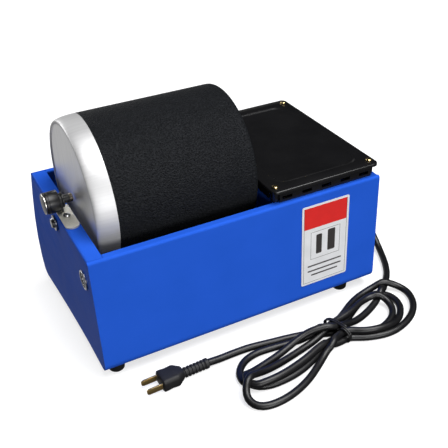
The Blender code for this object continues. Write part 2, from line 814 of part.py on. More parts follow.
def motor_cover():
    top = PANEL + COVER_RISE
    under = top - COVER_PLATE
    wall = 0.0015
    outline = rounded_rectangle(COVER_LEFT, COVER_FRONT, COVER_RIGHT, COVER_BACK, 0.0055)
    cover = prism("motor_cover", outline, "z", under, top, "black_paint")
    notch = 0.0075
    inset = 0.0030
    foot = PANEL + GAP
    walls = {
        "front": (
            (COVER_LEFT + notch, COVER_FRONT + inset),
            (COVER_RIGHT - notch, COVER_FRONT + inset + wall),
        ),
        "back": (
            (COVER_LEFT + notch, COVER_BACK - inset - wall),
            (COVER_RIGHT - notch, COVER_BACK - inset),
        ),
        "left": (
            (COVER_LEFT + inset, COVER_FRONT + 0.016),
            (COVER_LEFT + inset + wall, COVER_BACK - 0.016),
        ),
        "right": (
            (COVER_RIGHT - inset - wall, COVER_FRONT + 0.016),
            (COVER_RIGHT - inset, COVER_BACK - 0.016),
        ),
    }
    for side, (low, high) in walls.items():
        panel = box(f"cover_wall_{side}", (*low, foot), (*high, under + 0.0005), "black_paint")
        boolean(cover, panel, "UNION")
    tray = rounded_rectangle(
        COVER_LEFT + TRAY_MARGIN,
        COVER_FRONT + TRAY_MARGIN + 0.002,
        COVER_RIGHT - TRAY_MARGIN,
        COVER_BACK - TRAY_MARGIN - 0.002,
        TRAY_CORNER,
    )
    recess = prism("cover_tray", tray, "z", top - TRAY_DEPTH, top + 0.002, "black_paint")
    boolean(cover, recess, "DIFFERENCE")
    vent_low = PANEL + 0.0028
    for side, y in (("front", COVER_FRONT + inset), ("back", COVER_BACK - inset - wall)):
        for index in range(VENT_COUNT):
            middle = VENT_FIRST + index * VENT_PITCH
            low = (middle - VENT_LENGTH / 2, y - wall, vent_low)
            high = (middle + VENT_LENGTH / 2, y + 2 * wall, vent_low + VENT_HEIGHT)
            vent = box(f"vent_{side}_{index}", low, high, "black_paint")
            boolean(cover, vent, "DIFFERENCE")
    for x, y in cover_corners().values():
        drill(cover, "z", (x, y, 0.0), POST_BORE, under - 0.001, top + 0.001)


def cover_fasteners():
    top = PANEL + COVER_RISE
    under = top - COVER_PLATE
    for place, (x, y) in cover_corners().items():
        on_bulkhead = place.endswith("left")
        seat = PANEL - SHEET - GAP if on_bulkhead else PANEL
        profile = (
            (seat + GAP, POST_BORE),
            (seat + GAP, POST_RADIUS),
            (PANEL + 2 * GAP, POST_RADIUS),
            (PANEL + 2 * GAP, POST_COLLAR),
            (under - GAP, POST_COLLAR),
            (under - GAP, POST_BORE),
        )
        turned(f"cover_post_{place}", profile, (x, y, 0.0), "z", "black_paint", SMALL_SIDES)
        head = top + GAP
        profile = (
            (PANEL + 0.0030, 0.0),
            (PANEL + 0.0030, COVER_SCREW_RADIUS),
            (head, COVER_SCREW_RADIUS),
            (head, 0.0030),
            (head + 0.0010, 0.0028),
            (head + 0.0018, 0.0018),
            (head + 0.0018, 0.0),
        )
        turned(f"cover_screw_{place}", profile, (x, y, 0.0), "z", "brass", SMALL_SIDES)


def end_stop():
    centre = (0.0, BARREL_Y, STOP_Z)
    foot_low, foot_high = PANEL + GAP, PANEL + GAP + 0.0015
    ear_left = STOP_RIGHT + GAP
    ear_right = ear_left + STOP_EAR
    left, right = 0.0006, 0.0132
    front = 0.0570
    half = (right - left) / 2
    outline = arc(((left + right) / 2, front + half), half, 180, 360, 10)
    outline += [(right, 0.0995), (left, 0.0995)]
    bracket = prism("stop_bracket", outline, "z", foot_low, foot_high, "zinc_bracket")
    ear_half = 0.0065
    outline = [(BARREL_Y - ear_half, foot_low)] + [(BARREL_Y + ear_half, foot_low)]
    outline += arc((BARREL_Y, STOP_Z), ear_half, 0, 180, 10)
    ear = prism("stop_ear", outline, "x", ear_left, ear_right, "zinc_bracket")
    boolean(bracket, ear, "UNION")
    drill(bracket, "x", centre, 0.0035, ear_left - SHEET, ear_right + SHEET)
    drill(bracket, "z", (0.0070, 0.0790, 0.0), 0.0023, foot_low - 0.0002, foot_high + SHEET)

    edge = 0.0006
    profile = (
        (STOP_LEFT, 0.0035),
        (STOP_LEFT, STOP_RADIUS - edge),
        (STOP_LEFT + edge, STOP_RADIUS),
        (STOP_RIGHT - edge, STOP_RADIUS),
        (STOP_RIGHT, STOP_RADIUS - edge),
        (STOP_RIGHT, 0.0035),
    )
    turned("stop_sleeve", profile, centre, "x", "black_plastic")
    collar_left = ear_right + GAP
    collar_right = collar_left + STOP_COLLAR
    profile = (
        (STOP_LEFT + 0.0004, 0.0),
        (STOP_LEFT + 0.0004, 0.0031),
        (collar_left, 0.0031),
        (collar_left, 0.0070),
        (collar_right, 0.0070),
        (collar_right, 0.0040),
        (STOP_TIP - 0.0008, 0.0040),
        (STOP_TIP, 0.0030),
        (STOP_TIP, 0.0),
    )
    turned("stop_bolt", profile, centre, "x", "black_plastic")
    head = STOP_LEFT - GAP
    profile = (
        (OUTER_LEFT, 0.0),
        (OUTER_LEFT, STOP_RADIUS - 0.0010),
        (OUTER_LEFT + 0.0004, STOP_RADIUS - 0.0004),
        (head, STOP_RADIUS - 0.0004),
        (head, 0.0),
    )
    turned("stop_end_disc", profile, centre, "x", "bright_steel")
    screw_head = foot_high + GAP
    profile = (
        (PANEL - 0.0060, 0.0),
        (PANEL - 0.0060, 0.0020),
        (screw_head, 0.0020),
        (screw_head, 0.0034),
        (screw_head + 0.0012, 0.0030),
        (screw_head + 0.0020, 0.0016),
        (screw_head + 0.0020, 0.0),
    )
    turned("stop_foot_screw", profile, (0.0070, 0.0790, 0.0), "z", "bright_steel", SMALL_SIDES)


def stop_stiffener():
    """An angle behind the corner of the left end plate that the stop is bolted through."""
    outer, top = SHEET + GAP, PANEL - SHEET - GAP
    wall, reach, drop = 0.0015, 0.0125, 0.0960
    outline = [
        (top, outer + 0.0010),
        (top, reach),
        (top - wall, reach),
        (top - wall, outer + wall),
        (drop, outer + wall),
        (drop, outer),
        (top - 0.0010, outer),
    ]
    angle = prism("stop_stiffener", outline, "y", 0.0720, 0.1120, "zinc_bracket")
    drill(angle, "x", (0.0, SIDE_BOLT_Y, SIDE_BOLT_Z), 0.0034, outer - SHEET, outer + 3 * SHEET)
    drill(angle, "z", (0.0070, 0.0790, 0.0), 0.0023, top - 4 * wall, top + wall)
    centre = (0.0, SIDE_BOLT_Y, SIDE_BOLT_Z)
    rim = 0.0075
    seat = -GAP - plate_flare(SIDE_BOLT_Y + rim, SIDE_BOLT_Z - rim)
    profile = (
        (seat - 0.0035, 0.0),
        (seat - 0.0035, 0.0040),
        (seat - 0.0012, 0.0048),
        (seat - 0.0010, rim),
        (seat, rim),
        (seat, 0.0030),
        (0.0100, 0.0030),
        (0.0100, 0.0),
    )
    turned("side_bolt", profile, centre, "x", "bright_steel")


def rocker_switch():
    half_y, half_z = SWITCH_WIDTH / 2, SWITCH_HEIGHT / 2
    rim = LENGTH + GAP
    bezel = rounded_rectangle(
        SWITCH_Y - half_y, SWITCH_Z - half_z, SWITCH_Y + half_y, SWITCH_Z + half_z, 0.0015, 3
    )
    housing = prism("switch_housing", bezel, "x", rim, rim + 0.0020, "black_plastic")
    neck = 0.0015
    body = box(
        "switch_body",
        (LENGTH - 0.0160, SWITCH_Y - half_y + neck, SWITCH_Z - half_z + neck),
        (rim + 0.0010, SWITCH_Y + half_y - neck, SWITCH_Z + half_z - neck),
        "black_plastic",
    )
    boolean(housing, body, "UNION")
    pocket = box(
        "switch_pocket",
        (LENGTH - 0.0080, SWITCH_Y - half_y + 0.0025, SWITCH_Z - half_z + 0.0022),
        (rim + 0.0060, SWITCH_Y + half_y - 0.0025, SWITCH_Z + half_z - 0.0022),
        "black_plastic",
    )
    boolean(housing, pocket, "DIFFERENCE")

    pivot = Vector((ROCKER_PIVOT_X, SWITCH_Y, SWITCH_Z))
    side = half_y - 0.0025 - GAP
    # The rocker's side view about its pivot, as (z, x), turned to its off position.
    shape = (
        (-0.0050, -0.0050),
        (-ROCKER_HALF, -0.0010),
        (-ROCKER_HALF, ROCKER_RISE),
        (0.0, 0.0028),
        (ROCKER_HALF, ROCKER_RISE),
        (ROCKER_HALF, -0.0010),
        (0.0050, -0.0050),
    )
    spin = Matrix.Rotation(-SWITCH_TILT, 2)
    outline = [spin @ Vector(point) + Vector((pivot.z, pivot.x)) for point in shape]
    outline = [(point.x, point.y) for point in outline]
    prism(
        "switch_rocker", outline, "y", SWITCH_Y - side, SWITCH_Y + side, "black_plastic", pivot
    )


def mains_inlet():
    centre = (0.0, GLAND_Y, GLAND_Z)
    tip = LENGTH + GLAND_LENGTH
    profile = (
        (LENGTH - 0.0070, 0.0),
        (LENGTH - 0.0070, 0.0060),
        (LENGTH + GAP, 0.0060),
        (LENGTH + GAP, 0.0085),
        (LENGTH + 0.0025, 0.0080),
        (LENGTH + 0.0040, 0.0062),
        (tip, 0.0046),
        (tip, 0.0),
    )
    turned("cord_gland", profile, centre, "x", "black_rubber")


def hank():
    """The tied bundle of mains lead: two open loops side by side, narrow at the tie."""
    bottom = -FOOT_HEIGHT
    outline = smooth_path([(*point, 0.0) for point in HANK_EDGE], 0.0090)
    outline = [(point.x, point.y) for point in outline]
    prism("cord_hank", outline, "z", bottom, bottom + HANK_HEIGHT, "black_rubber")

    across = Vector((-TIE_ALONG.y, TIE_ALONG.x))
    inner, outer = TIE_REACH, TIE_REACH + TIE_THICKNESS
    top = bottom + HANK_HEIGHT + GAP
    outline = (
        (-outer, bottom),
        (-inner, bottom),
        (-inner, top),
        (inner, top),
        (inner, bottom),
        (outer, bottom),
        (outer, top + TIE_THICKNESS),
        (-outer, top + TIE_THICKNESS),
    )
    points = []
    for shift in (-TIE_WIDTH / 2, TIE_WIDTH / 2):
        for side, z in outline:
            place = TIE_CENTRE + TIE_ALONG * shift + across * side
            points.append((place.x, place.y, z))
    count = len(outline)
    faces = [list(range(count)), list(range(count, 2 * count))]
    for i in range(count):
        j = (i + 1) % count
        faces.append([i, j, j + count, i + count])
    add_mesh("cord_tie", points, faces, "black_plastic")


def oriented(obj, start, direction):
    """Turns an object made along +x from the origin so that it starts at start, along direction."""
    obj.rotation_euler = direction.to_track_quat("X", "Z").to_euler()
    obj.location = start


def plug():
    start = PLUG_START + PLUG_DIRECTION * GAP
    height = Vector((0.0, 0.0, PLUG_HALF_HEIGHT - FOOT_HEIGHT - PLUG_START.z))
    profile = (
        (0.0, 0.0),
        (0.0, CORD_RADIUS + 0.0006),
        (0.0020, 0.0051),
        (BOOT_LENGTH - GAP, 0.0051),
        (BOOT_LENGTH - GAP, 0.0),
    )
    boot = turned("plug_boot", profile, (0.0, 0.0, 0.0), "x", "black_rubber")
    oriented(boot, start, PLUG_DIRECTION)
    outline = (
        (BOOT_LENGTH, -0.0060),
        (BOOT_LENGTH + 0.0070, -PLUG_HALF_WIDTH),
        (BOOT_LENGTH + PLUG_LENGTH - 0.0010, -PLUG_HALF_WIDTH),
        (BOOT_LENGTH + PLUG_LENGTH, -PLUG_HALF_WIDTH + 0.0010),
        (BOOT_LENGTH + PLUG_LENGTH, PLUG_HALF_WIDTH - 0.0010),
        (BOOT_LENGTH + PLUG_LENGTH - 0.0010, PLUG_HALF_WIDTH),
        (BOOT_LENGTH + 0.0070, PLUG_HALF_WIDTH),
        (BOOT_LENGTH, 0.0060),
    )
    body = prism(
        "plug_body", outline, "z", -PLUG_HALF_HEIGHT, PLUG_HALF_HEIGHT, "black_rubber"
    )
    oriented(body, start + height, PLUG_DIRECTION)
    for name, side in (("plug_blade_near", -1), ("plug_blade_far", 1)):
        middle = side * BLADE_SPACING / 2
        blade_left = BOOT_LENGTH + PLUG_LENGTH + GAP
        outline = (
            (blade_left, middle - BLADE_THICKNESS / 2),
            (blade_left + BLADE_LENGTH, middle - BLADE_THICKNESS / 2),
            (blade_left + BLADE_LENGTH, middle + BLADE_THICKNESS / 2),
            (blade_left, middle + BLADE_THICKNESS / 2),
        )
        blade = prism(name, outline, "z", -BLADE_WIDTH / 2, BLADE_WIDTH / 2, "brass")
        oriented(blade, start + height, PLUG_DIRECTION)


def front_label():
    outline = rounded_rectangle(
        LABEL_BOTTOM, LABEL_LEFT, LABEL_BOTTOM + LABEL_HEIGHT, LABEL_LEFT + LABEL_WIDTH, 0.0020, 3
    )
    prism("front_label", outline, "y", OUTER_FRONT, -GAP, "label_film")


def main():
    clear_scene()
    make_root()
    chassis_wrap()
    end_plates()
    bulkhead()
    feet()
    roller_shafts()
    barrel()
    belt_drive()
    motor()
    fan()
    motor_cover()
    cover_fasteners()
    end_stop()
    stop_stiffener()
    rocker_switch()
    mains_inlet()
    tube("cord_lead", LEAD_ROUTE, CORD_RADIUS, "black_rubber", 0.0060)
    tube("cord_tail", TAIL_ROUTE, CORD_RADIUS, "black_rubber", 0.0060)
    hank()
    plug()
    front_label()


main()
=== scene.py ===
"""Looks for the bench rotary tumbler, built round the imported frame."""

import json
import math

import bmesh
import bpy
import numpy as np
from mathutils import Matrix, Vector


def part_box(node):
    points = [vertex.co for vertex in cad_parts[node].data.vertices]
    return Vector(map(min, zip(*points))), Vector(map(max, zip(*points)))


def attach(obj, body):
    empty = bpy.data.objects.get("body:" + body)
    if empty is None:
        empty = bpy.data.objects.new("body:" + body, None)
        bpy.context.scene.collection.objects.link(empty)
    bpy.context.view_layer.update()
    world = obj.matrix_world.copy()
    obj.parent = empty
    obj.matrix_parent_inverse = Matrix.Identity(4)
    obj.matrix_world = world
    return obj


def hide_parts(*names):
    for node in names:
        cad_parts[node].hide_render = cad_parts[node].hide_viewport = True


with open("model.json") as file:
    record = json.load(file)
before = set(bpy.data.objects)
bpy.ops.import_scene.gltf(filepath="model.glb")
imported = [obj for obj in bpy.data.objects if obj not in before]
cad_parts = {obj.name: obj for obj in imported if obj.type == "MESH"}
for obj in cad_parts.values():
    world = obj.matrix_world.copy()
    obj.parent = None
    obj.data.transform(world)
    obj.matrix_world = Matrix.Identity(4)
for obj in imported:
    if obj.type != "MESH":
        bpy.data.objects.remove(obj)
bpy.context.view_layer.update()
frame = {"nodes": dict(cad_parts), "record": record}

# The CAD's own frame has its corner at the chassis's front left; this is the shift to the row frame.
MIDDLE = Vector((0.14228059, 0.09075, -0.009))

PANEL = 0.121
GAP = 0.0003
BARREL_Y, BARREL_Z, BARREL_RADIUS = 0.091, 0.1365, 0.069
BARREL_RIGHT = 0.171
COVER_WALL = 0.0020
CAP_LEFT, CAP_WIDTH = 0.018, 0.019
COVER_LEFT, COVER_RIGHT = 0.1745, 0.2895
COVER_FRONT, COVER_BACK = 0.0015, 0.1805
COVER_TOP = PANEL + 0.0134
COVER_UNDER = COVER_TOP - 0.0030
STOP_Z = PANEL + 0.0124
STOP_RADIUS = 0.010
AXES = {"x": (1, 2, 0), "y": (2, 0, 1), "z": (0, 1, 2)}


# ---------------------------------------------------------------- meshes


def add_object(name, data, material, body, replaced=(), centre=None):
    """A finished piece; with a centre, its mesh is held relative to that point."""
    data.materials.append(material)
    obj = bpy.data.objects.new(name, data)
    bpy.context.scene.collection.objects.link(obj)
    if centre:
        place = Vector(centre) - MIDDLE
        data.transform(Matrix.Translation(-place))
        obj.location = place
    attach(obj, body)
    if replaced:
        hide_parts(*replaced)
    return obj


def finished(shape, name, angle=35):
    bmesh.ops.recalc_face_normals(shape, faces=shape.faces)
    mesh = bpy.data.meshes.new(name)
    shape.to_mesh(mesh)
    shape.free()
    mesh.shade_smooth()
    mesh.set_sharp_from_angle(angle=math.radians(angle))
    return mesh


def mesh_of(name, points, faces, angle=35):
    shape = bmesh.new()
    made = [shape.verts.new(Vector(p) - MIDDLE) for p in points]
    for face in faces:
        shape.faces.new([made[i] for i in face])
    return finished(shape, name, angle)


def loft(name, loops, closed=False, angle=35):
    """Loops of the same number of points, joined in order, with both end loops filled."""
    count = len(loops[0])
    points = [p for loop in loops for p in loop]
    faces = []
    pairs = list(zip(range(len(loops)), range(1, len(loops))))
    if closed:
        pairs.append((len(loops) - 1, 0))
    for a, b in pairs:
        for i in range(count):
            j = (i + 1) % count
            faces.append([a * count + i, a * count + j, b * count + j, b * count + i])
    if not closed:
        faces.append(list(range(count))[::-1])
        faces.append([(len(loops) - 1) * count + i for i in range(count)])
    return mesh_of(name, points, faces, angle)


def lathe(name, profile, centre, axis, segments=96, angle=35):
    first, second, along = AXES[axis]
    points, rings = [], []
    for position, radius in profile:
        ring = []
        for step in range(1 if radius == 0.0 else segments):
            turn = 2 * math.pi * step / segments
            point = list(centre)
            point[along] = position
            point[first] += radius * math.cos(turn)
            point[second] += radius * math.sin(turn)
            ring.append(len(points))
            points.append(point)
        rings.append(ring)
    faces = []
    for here, there in zip(rings, rings[1:] + rings[:1]):
        if len(here) == 1 and len(there) == 1:
            continue
        for i in range(segments):
            j = (i + 1) % segments
            if len(here) == 1:
                faces.append([here[0], there[j], there[i]])
            elif len(there) == 1:
                faces.append([here[i], here[j], there[0]])
            else:
                faces.append([here[i], here[j], there[j], there[i]])
    return mesh_of(name, points, faces, angle)


def arc(centre, radius, start, end, steps):
    found = []
    for step in range(steps + 1):
        turn = math.radians(start + (end - start) * step / steps)
        found.append((centre[0] + radius * math.cos(turn), centre[1] + radius * math.sin(turn)))
    return found


def rounded(left, bottom, right, top, radius, steps=8):
    outline = []
    for x, y, start in (
        (right - radius, bottom + radius, -90),
        (right - radius, top - radius, 0),
        (left + radius, top - radius, 90),
        (left + radius, bottom + radius, 180),
    ):
        outline += arc((x, y), radius, start, start + 90, steps)
    return outline


# ---------------------------------------------------------------- materials


class Shader:
    """A Principled material and short ways to add nodes to it."""

    def __init__(self, name, colour, roughness, metallic=0.0, **sockets):
        self.material = bpy.data.materials.new(name)
        self.material.use_nodes = True
        self.tree = self.material.node_tree
        self.base = self.tree.nodes["Principled BSDF"]
        self.set("Base Color", (*colour, 1.0))
        self.set("Roughness", roughness)
        self.set("Metallic", metallic)
        for socket, value in sockets.items():
            self.set(socket.replace("_", " "), value)
        self.place = self.node("ShaderNodeTexCoord").outputs["Object"]

    def set(self, socket, value):
        self.base.inputs[socket].default_value = value

    def node(self, kind, **values):
        made = self.tree.nodes.new(kind)
        for key, value in values.items():
            if key in made.inputs:
                made.inputs[key].default_value = value
            else:
                setattr(made, key, value)
        return made

    def link(self, out, into):
        self.tree.links.new(out, into)

    def stretched(self, scale):
        mapping = self.node("ShaderNodeMapping")
        mapping.inputs["Scale"].default_value = scale
        self.link(self.place, mapping.inputs["Vector"])
        return mapping.outputs["Vector"]

    def noise(self, scale, detail=4.0, rough=0.5, vector=None):
        made = self.node("ShaderNodeTexNoise", Scale=scale, Detail=detail, Roughness=rough)
        self.link(vector or self.place, made.inputs["Vector"])
        return made.outputs["Fac"]

    def cells(self, scale, feature="F1", vector=None):
        made = self.node("ShaderNodeTexVoronoi", feature=feature)
        made.inputs["Scale"].default_value = scale
        self.link(vector or self.place, made.inputs["Vector"])
        return made.outputs["Distance"]

    def ramp(self, factor, low, high, first, second):
        made = self.node("ShaderNodeValToRGB")
        made.color_ramp.elements[0].position = low
        made.color_ramp.elements[1].position = high
        made.color_ramp.elements[0].color = (*first, 1.0)
        made.color_ramp.elements[1].color = (*second, 1.0)
        self.link(factor, made.inputs["Fac"])
        return made.outputs["Color"]

    def span(self, factor, low, high):
        made = self.node("ShaderNodeMapRange")
        made.inputs["To Min"].default_value = low
        made.inputs["To Max"].default_value = high
        self.link(factor, made.inputs["Value"])
        return made.outputs["Result"]

    def math(self, operation, a, b):
        made = self.node("ShaderNodeMath", operation=operation)
        for index, value in enumerate((a, b)):
            if isinstance(value, float):
                made.inputs[index].default_value = value
            else:
                self.link(value, made.inputs[index])
        return made.outputs["Value"]

    def bump(self, height, strength, distance):
        made = self.node("ShaderNodeBump", Strength=strength, Distance=distance)
        self.link(height, made.inputs["Height"])
        self.link(made.outputs["Normal"], self.base.inputs["Normal"])

    def colour(self, out):
        self.link(out, self.base.inputs["Base Color"])

    def rough(self, out):
        self.link(out, self.base.inputs["Roughness"])


def paint(name, dark, light, roughness, coat, specular, refraction=1.5):
    """Powder coat: a faint orange peel and a little unevenness in its colour."""
    s = Shader(name, light, roughness)
    s.set("Coat Weight", coat)
    s.set("Coat Roughness", 0.15)
    s.set("Specular IOR Level", specular)
    s.set("IOR", refraction)
    s.colour(s.ramp(s.noise(30, 3.0), 0.3, 0.7, dark, light))
    s.rough(s.span(s.noise(60, 3.0), roughness - 0.05, roughness + 0.06))
    s.bump(s.noise(900, 2.0), 0.10, 0.0002)
    return s.material


def leatherette():
    s = Shader("leatherette", (0.012, 0.013, 0.015), 0.5)
    s.set("Specular IOR Level", 0.06)
    pebble = s.cells(820, "SMOOTH_F1")
    grain = s.math("ADD", pebble, s.math("MULTIPLY", s.noise(620, 3.0), 0.7))
    s.colour(s.ramp(grain, 0.35, 1.1, (0.0034, 0.0038, 0.0045), (0.0140, 0.0152, 0.0175)))
    s.rough(s.span(s.noise(420, 3.0), 0.36, 0.56))
    s.bump(grain, 1.0, 0.0011)
    return s.material


def brushed(name, colour, low, high, scale, strength=0.15):
    s = Shader(name, colour, (low + high) / 2, 1.0)
    lines = s.noise(1.0, 3.0, 0.6, s.stretched(scale))
    s.rough(s.span(lines, low, high))
    tint = tuple(c * 0.82 for c in colour)
    s.colour(s.ramp(lines, 0.25, 0.75, tint, colour))
    s.bump(lines, strength, 0.0001)
    return s.material


def grey_mix(s, factor, first, second):
    """A grey that goes from the first colour output to the second."""
    made = s.node("ShaderNodeMix", data_type="RGBA")
    s.link(factor, made.inputs[0])
    s.link(first, made.inputs[6])
    s.link(second, made.inputs[7])
    return made.outputs[2]


def spun(s, plane):
    """The direction from the piece's own axis, and the distance from it."""
    flat = s.node("ShaderNodeVectorMath", operation="MULTIPLY")
    flat.inputs[1].default_value = plane
    s.link(s.place, flat.inputs[0])
    length = s.node("ShaderNodeVectorMath", operation="LENGTH")
    s.link(flat.outputs["Vector"], length.inputs[0])
    way = s.node("ShaderNodeVectorMath", operation="NORMALIZE")
    s.link(flat.outputs["Vector"], way.inputs[0])
    return way.outputs["Vector"], length.outputs["Value"]


def lid_metal():
    """Spun aluminium: a brushed face, and a shoulder ring with wide soft stripes of painted reflection round
    it.
    """
    s = Shader("lid_metal", (0.5, 0.5, 0.5), 0.3, 1.0)
    way, radius = spun(s, (0.0, 1.0, 1.0))
    on_ring = s.math("GREATER_THAN", radius, BARREL_RADIUS - 0.0058)
    # The wide lighter and darker stripes round the shoulder ring are painted reflection, not marks in the
    # metal.
    broad_reflection = s.noise(1.7, 1.0, 0.4, way)
    fine = s.noise(26.0, 3.0, 0.7, way)
    painted_reflection_bands = s.math("ADD", broad_reflection, s.math("MULTIPLY", fine, 0.30))
    ring = s.ramp(painted_reflection_bands, 0.42, 0.86, (0.48, 0.48, 0.485), (0.74, 0.74, 0.745))
    lines = s.noise(1.0, 2.0, 0.6, s.stretched((200, 420, 22)))
    face = s.ramp(lines, 0.2, 0.8, (0.74, 0.74, 0.745), (0.86, 0.86, 0.865))
    s.colour(grey_mix(s, on_ring, face, ring))
    s.rough(s.span(fine, 0.40, 0.52))
    s.link(s.span(on_ring, 1.0, 0.40), s.base.inputs["Metallic"])
    s.bump(s.noise(60.0, 2.0, 0.6, way), 0.05, 0.0002)
    return s.material


def bearing_metal():
    """A ground rim and inner race with a dark shield between them."""
    s = Shader("bearing_metal", (0.5, 0.5, 0.5), 0.3, 1.0)
    way, radius = spun(s, (0.0, 1.0, 1.0))
    shield = s.math("MULTIPLY", s.math("GREATER_THAN", radius, 0.0047), s.math("LESS_THAN", radius, 0.0074))
    turned_lines = s.noise(300.0, 2.0, 0.6, way)
    bright = s.ramp(turned_lines, 0.2, 0.8, (0.34, 0.34, 0.35), (0.58, 0.58, 0.60))
    dark = s.ramp(turned_lines, 0.2, 0.8, (0.012, 0.012, 0.013), (0.030, 0.030, 0.032))
    s.colour(grey_mix(s, shield, bright, dark))
    s.rough(s.span(turned_lines, 0.22, 0.38))
    return s.material


def cross_head(name, colour):
    """A screw seen from its head: polished, with a dark cross of painted shade standing in for the shaded
    hollow of its driver slot.
    """
    s = Shader(name, colour, 0.25, 1.0)
    split = s.node("ShaderNodeSeparateXYZ")
    s.link(s.place, split.inputs[0])
    across = s.math("ABSOLUTE", split.outputs["X"], 0.0)
    along = s.math("ABSOLUTE", split.outputs["Y"], 0.0)
    slim = s.math("LESS_THAN", s.math("MINIMUM", across, along), 0.00026)
    inside = s.math("LESS_THAN", s.math("MAXIMUM", across, along), 0.0017)
    # The dark cross is painted shade; the head has no hollow cut in it.
    painted_recess_shade = s.math("MULTIPLY", slim, inside)
    plain = s.ramp(s.noise(900, 2.0), 0.3, 0.7, tuple(c * 0.8 for c in colour), colour)
    dark = s.ramp(s.noise(900, 2.0), 0.3, 0.7, (0.01, 0.009, 0.008), (0.03, 0.027, 0.022))
    s.colour(grey_mix(s, painted_recess_shade, plain, dark))
    s.rough(s.span(s.noise(700, 2.0), 0.18, 0.32))
    return s.material


def tipped(name, edge, before, after):
    """One colour up to a place along x, measured from the piece's centre, and another beyond it."""
    s = Shader(name, before, 0.34)
    split = s.node("ShaderNodeSeparateXYZ")
    s.link(s.place, split.inputs[0])
    beyond = s.math("GREATER_THAN", split.outputs["X"], edge)
    first = s.ramp(s.noise(500, 3.0), 0.3, 0.7, tuple(c * 0.8 for c in before), before)
    second = s.ramp(s.noise(500, 3.0), 0.3, 0.7, tuple(c * 0.7 for c in after), after)
    s.colour(grey_mix(s, beyond, first, second))
    s.link(beyond, s.base.inputs["Metallic"])
    s.rough(s.span(s.noise(600, 2.0), 0.26, 0.42))
    return s.material


def rimmed(name, edge, inside, rim):
    """One colour near the axis and a bright metal rim beyond a given radius."""
    s = Shader(name, inside, 0.32)
    radius = spun(s, (0.0, 1.0, 1.0))[1]
    on_rim = s.math("GREATER_THAN", radius, edge)
    plain = s.ramp(s.noise(500, 3.0), 0.3, 0.7, tuple(c * 0.8 for c in inside), inside)
    bright = s.ramp(s.noise(900, 2.0), 0.3, 0.7, tuple(c * 0.8 for c in rim), rim)
    s.colour(grey_mix(s, on_rim, plain, bright))
    s.link(on_rim, s.base.inputs["Metallic"])
    s.rough(s.span(s.noise(600, 2.0), 0.26, 0.40))
    return s.material


def zinc_and_painted_shade(name, height, coat, painted_shade):
    """Zinc plate on the foot of the bracket, and painted shade, near black, on its upright above a given
    height, where it lies in shadow.
    """
    s = Shader(name, coat, 0.44)
    split = s.node("ShaderNodeSeparateXYZ")
    s.link(s.place, split.inputs[0])
    above = s.math("GREATER_THAN", split.outputs["Z"], height - MIDDLE.z)
    plate = s.ramp(s.noise(700, 3.0), 0.3, 0.7, tuple(c * 0.86 for c in coat), coat)
    # The near black colour above the given height is painted shade on the upright, which sits in shadow behind
    # the knob.
    dark = s.ramp(s.noise(700, 3.0), 0.3, 0.7, tuple(c * 0.8 for c in painted_shade), painted_shade)
    s.colour(grey_mix(s, above, plate, dark))
    s.link(s.span(above, 0.6, 0.0), s.base.inputs["Metallic"])
    s.rough(s.span(s.noise(600, 2.0), 0.36, 0.50))
    return s.material


def rubber(name, colour, roughness=0.55, specular=0.35):
    s = Shader(name, colour, roughness)
    s.set("Specular IOR Level", specular)
    lighter = tuple(c * 1.4 for c in colour)
    s.colour(s.ramp(s.noise(220, 4.0), 0.3, 0.7, colour, lighter))
    s.rough(s.span(s.noise(400, 3.0), roughness - 0.06, roughness + 0.08))
    s.bump(s.noise(1400, 3.0), 0.15, 0.0001)
    return s.material


def plastic(name, colour, roughness=0.4):
    s = Shader(name, colour, roughness)
    s.rough(s.span(s.noise(300, 3.0), roughness - 0.05, roughness + 0.08))
    s.colour(s.ramp(s.noise(90, 3.0), 0.3, 0.7, tuple(c * 0.92 for c in colour), colour))
    s.bump(s.noise(1800, 2.0), 0.12, 0.00006)
    return s.material


BLUE = paint("blue_paint", (0.0170, 0.0950, 0.5750), (0.0188, 0.1010, 0.6100), 0.38, 0.0, 0.08, 1.12)
BLACK = paint("black_paint", (0.0062, 0.0062, 0.0069), (0.0085, 0.0085, 0.0093), 0.24, 0.20, 0.35)
LEATHER = leatherette()
LID_METAL = lid_metal()
BEARING = bearing_metal()
BRASS_SCREW = cross_head("brass_screw", (0.80, 0.62, 0.30))
STEEL_SCREW = cross_head("steel_screw", (0.66, 0.66, 0.67))
STOP_FACE = rimmed("stop_face", 0.0086, (0.010, 0.010, 0.011), (0.62, 0.60, 0.56))
DARK_STEEL = brushed("dark_steel", (0.30, 0.30, 0.31), 0.22, 0.36, (2500, 2500, 2500))
# The bracket: zinc on its foot and painted shade, near black, on its upright above the flange.
BRACKET = zinc_and_painted_shade("bracket_zinc", PANEL + 0.0030, (0.74, 0.72, 0.64), (0.012, 0.012, 0.013))
STOP_ROD = tipped("stop_rod", 0.0140, (0.010, 0.010, 0.011), (0.22, 0.19, 0.15))
CAP_FACE = brushed("cap_face", (0.46, 0.46, 0.47), 0.30, 0.44, (300, 300, 9000))
STEEL = brushed("bright_steel", (0.56, 0.56, 0.58), 0.20, 0.36, (2500, 2500, 2500))
BRASS = brushed("brass", (0.78, 0.55, 0.22), 0.22, 0.38, (2500, 2500, 2500))
ZINC = brushed("zinc_bracket", (0.74, 0.72, 0.64), 0.36, 0.54, (1200, 1200, 1200))
IRON = brushed("motor_iron", (0.30, 0.30, 0.31), 0.40, 0.60, (4000, 200, 200))
RUBBER = rubber("black_rubber", (0.0075, 0.0075, 0.0082))
CORD = rubber("cord_sheath", (0.0052, 0.0052, 0.0058), 0.36, 0.40)
LINER = rubber("grey_rubber", (0.10, 0.10, 0.105), 0.7)
PLASTIC = plastic("black_plastic", (0.0085, 0.0085, 0.0092), 0.36)
NYLON = plastic("white_plastic", (0.60, 0.59, 0.56))
LABEL_WHITE = plastic("label_white", (0.78, 0.79, 0.81), 0.40)
LABEL_RED = plastic("label_red", (0.72, 0.022, 0.020), 0.40)
LABEL_GREY = plastic("label_grey", (0.040, 0.036, 0.036), 0.40)

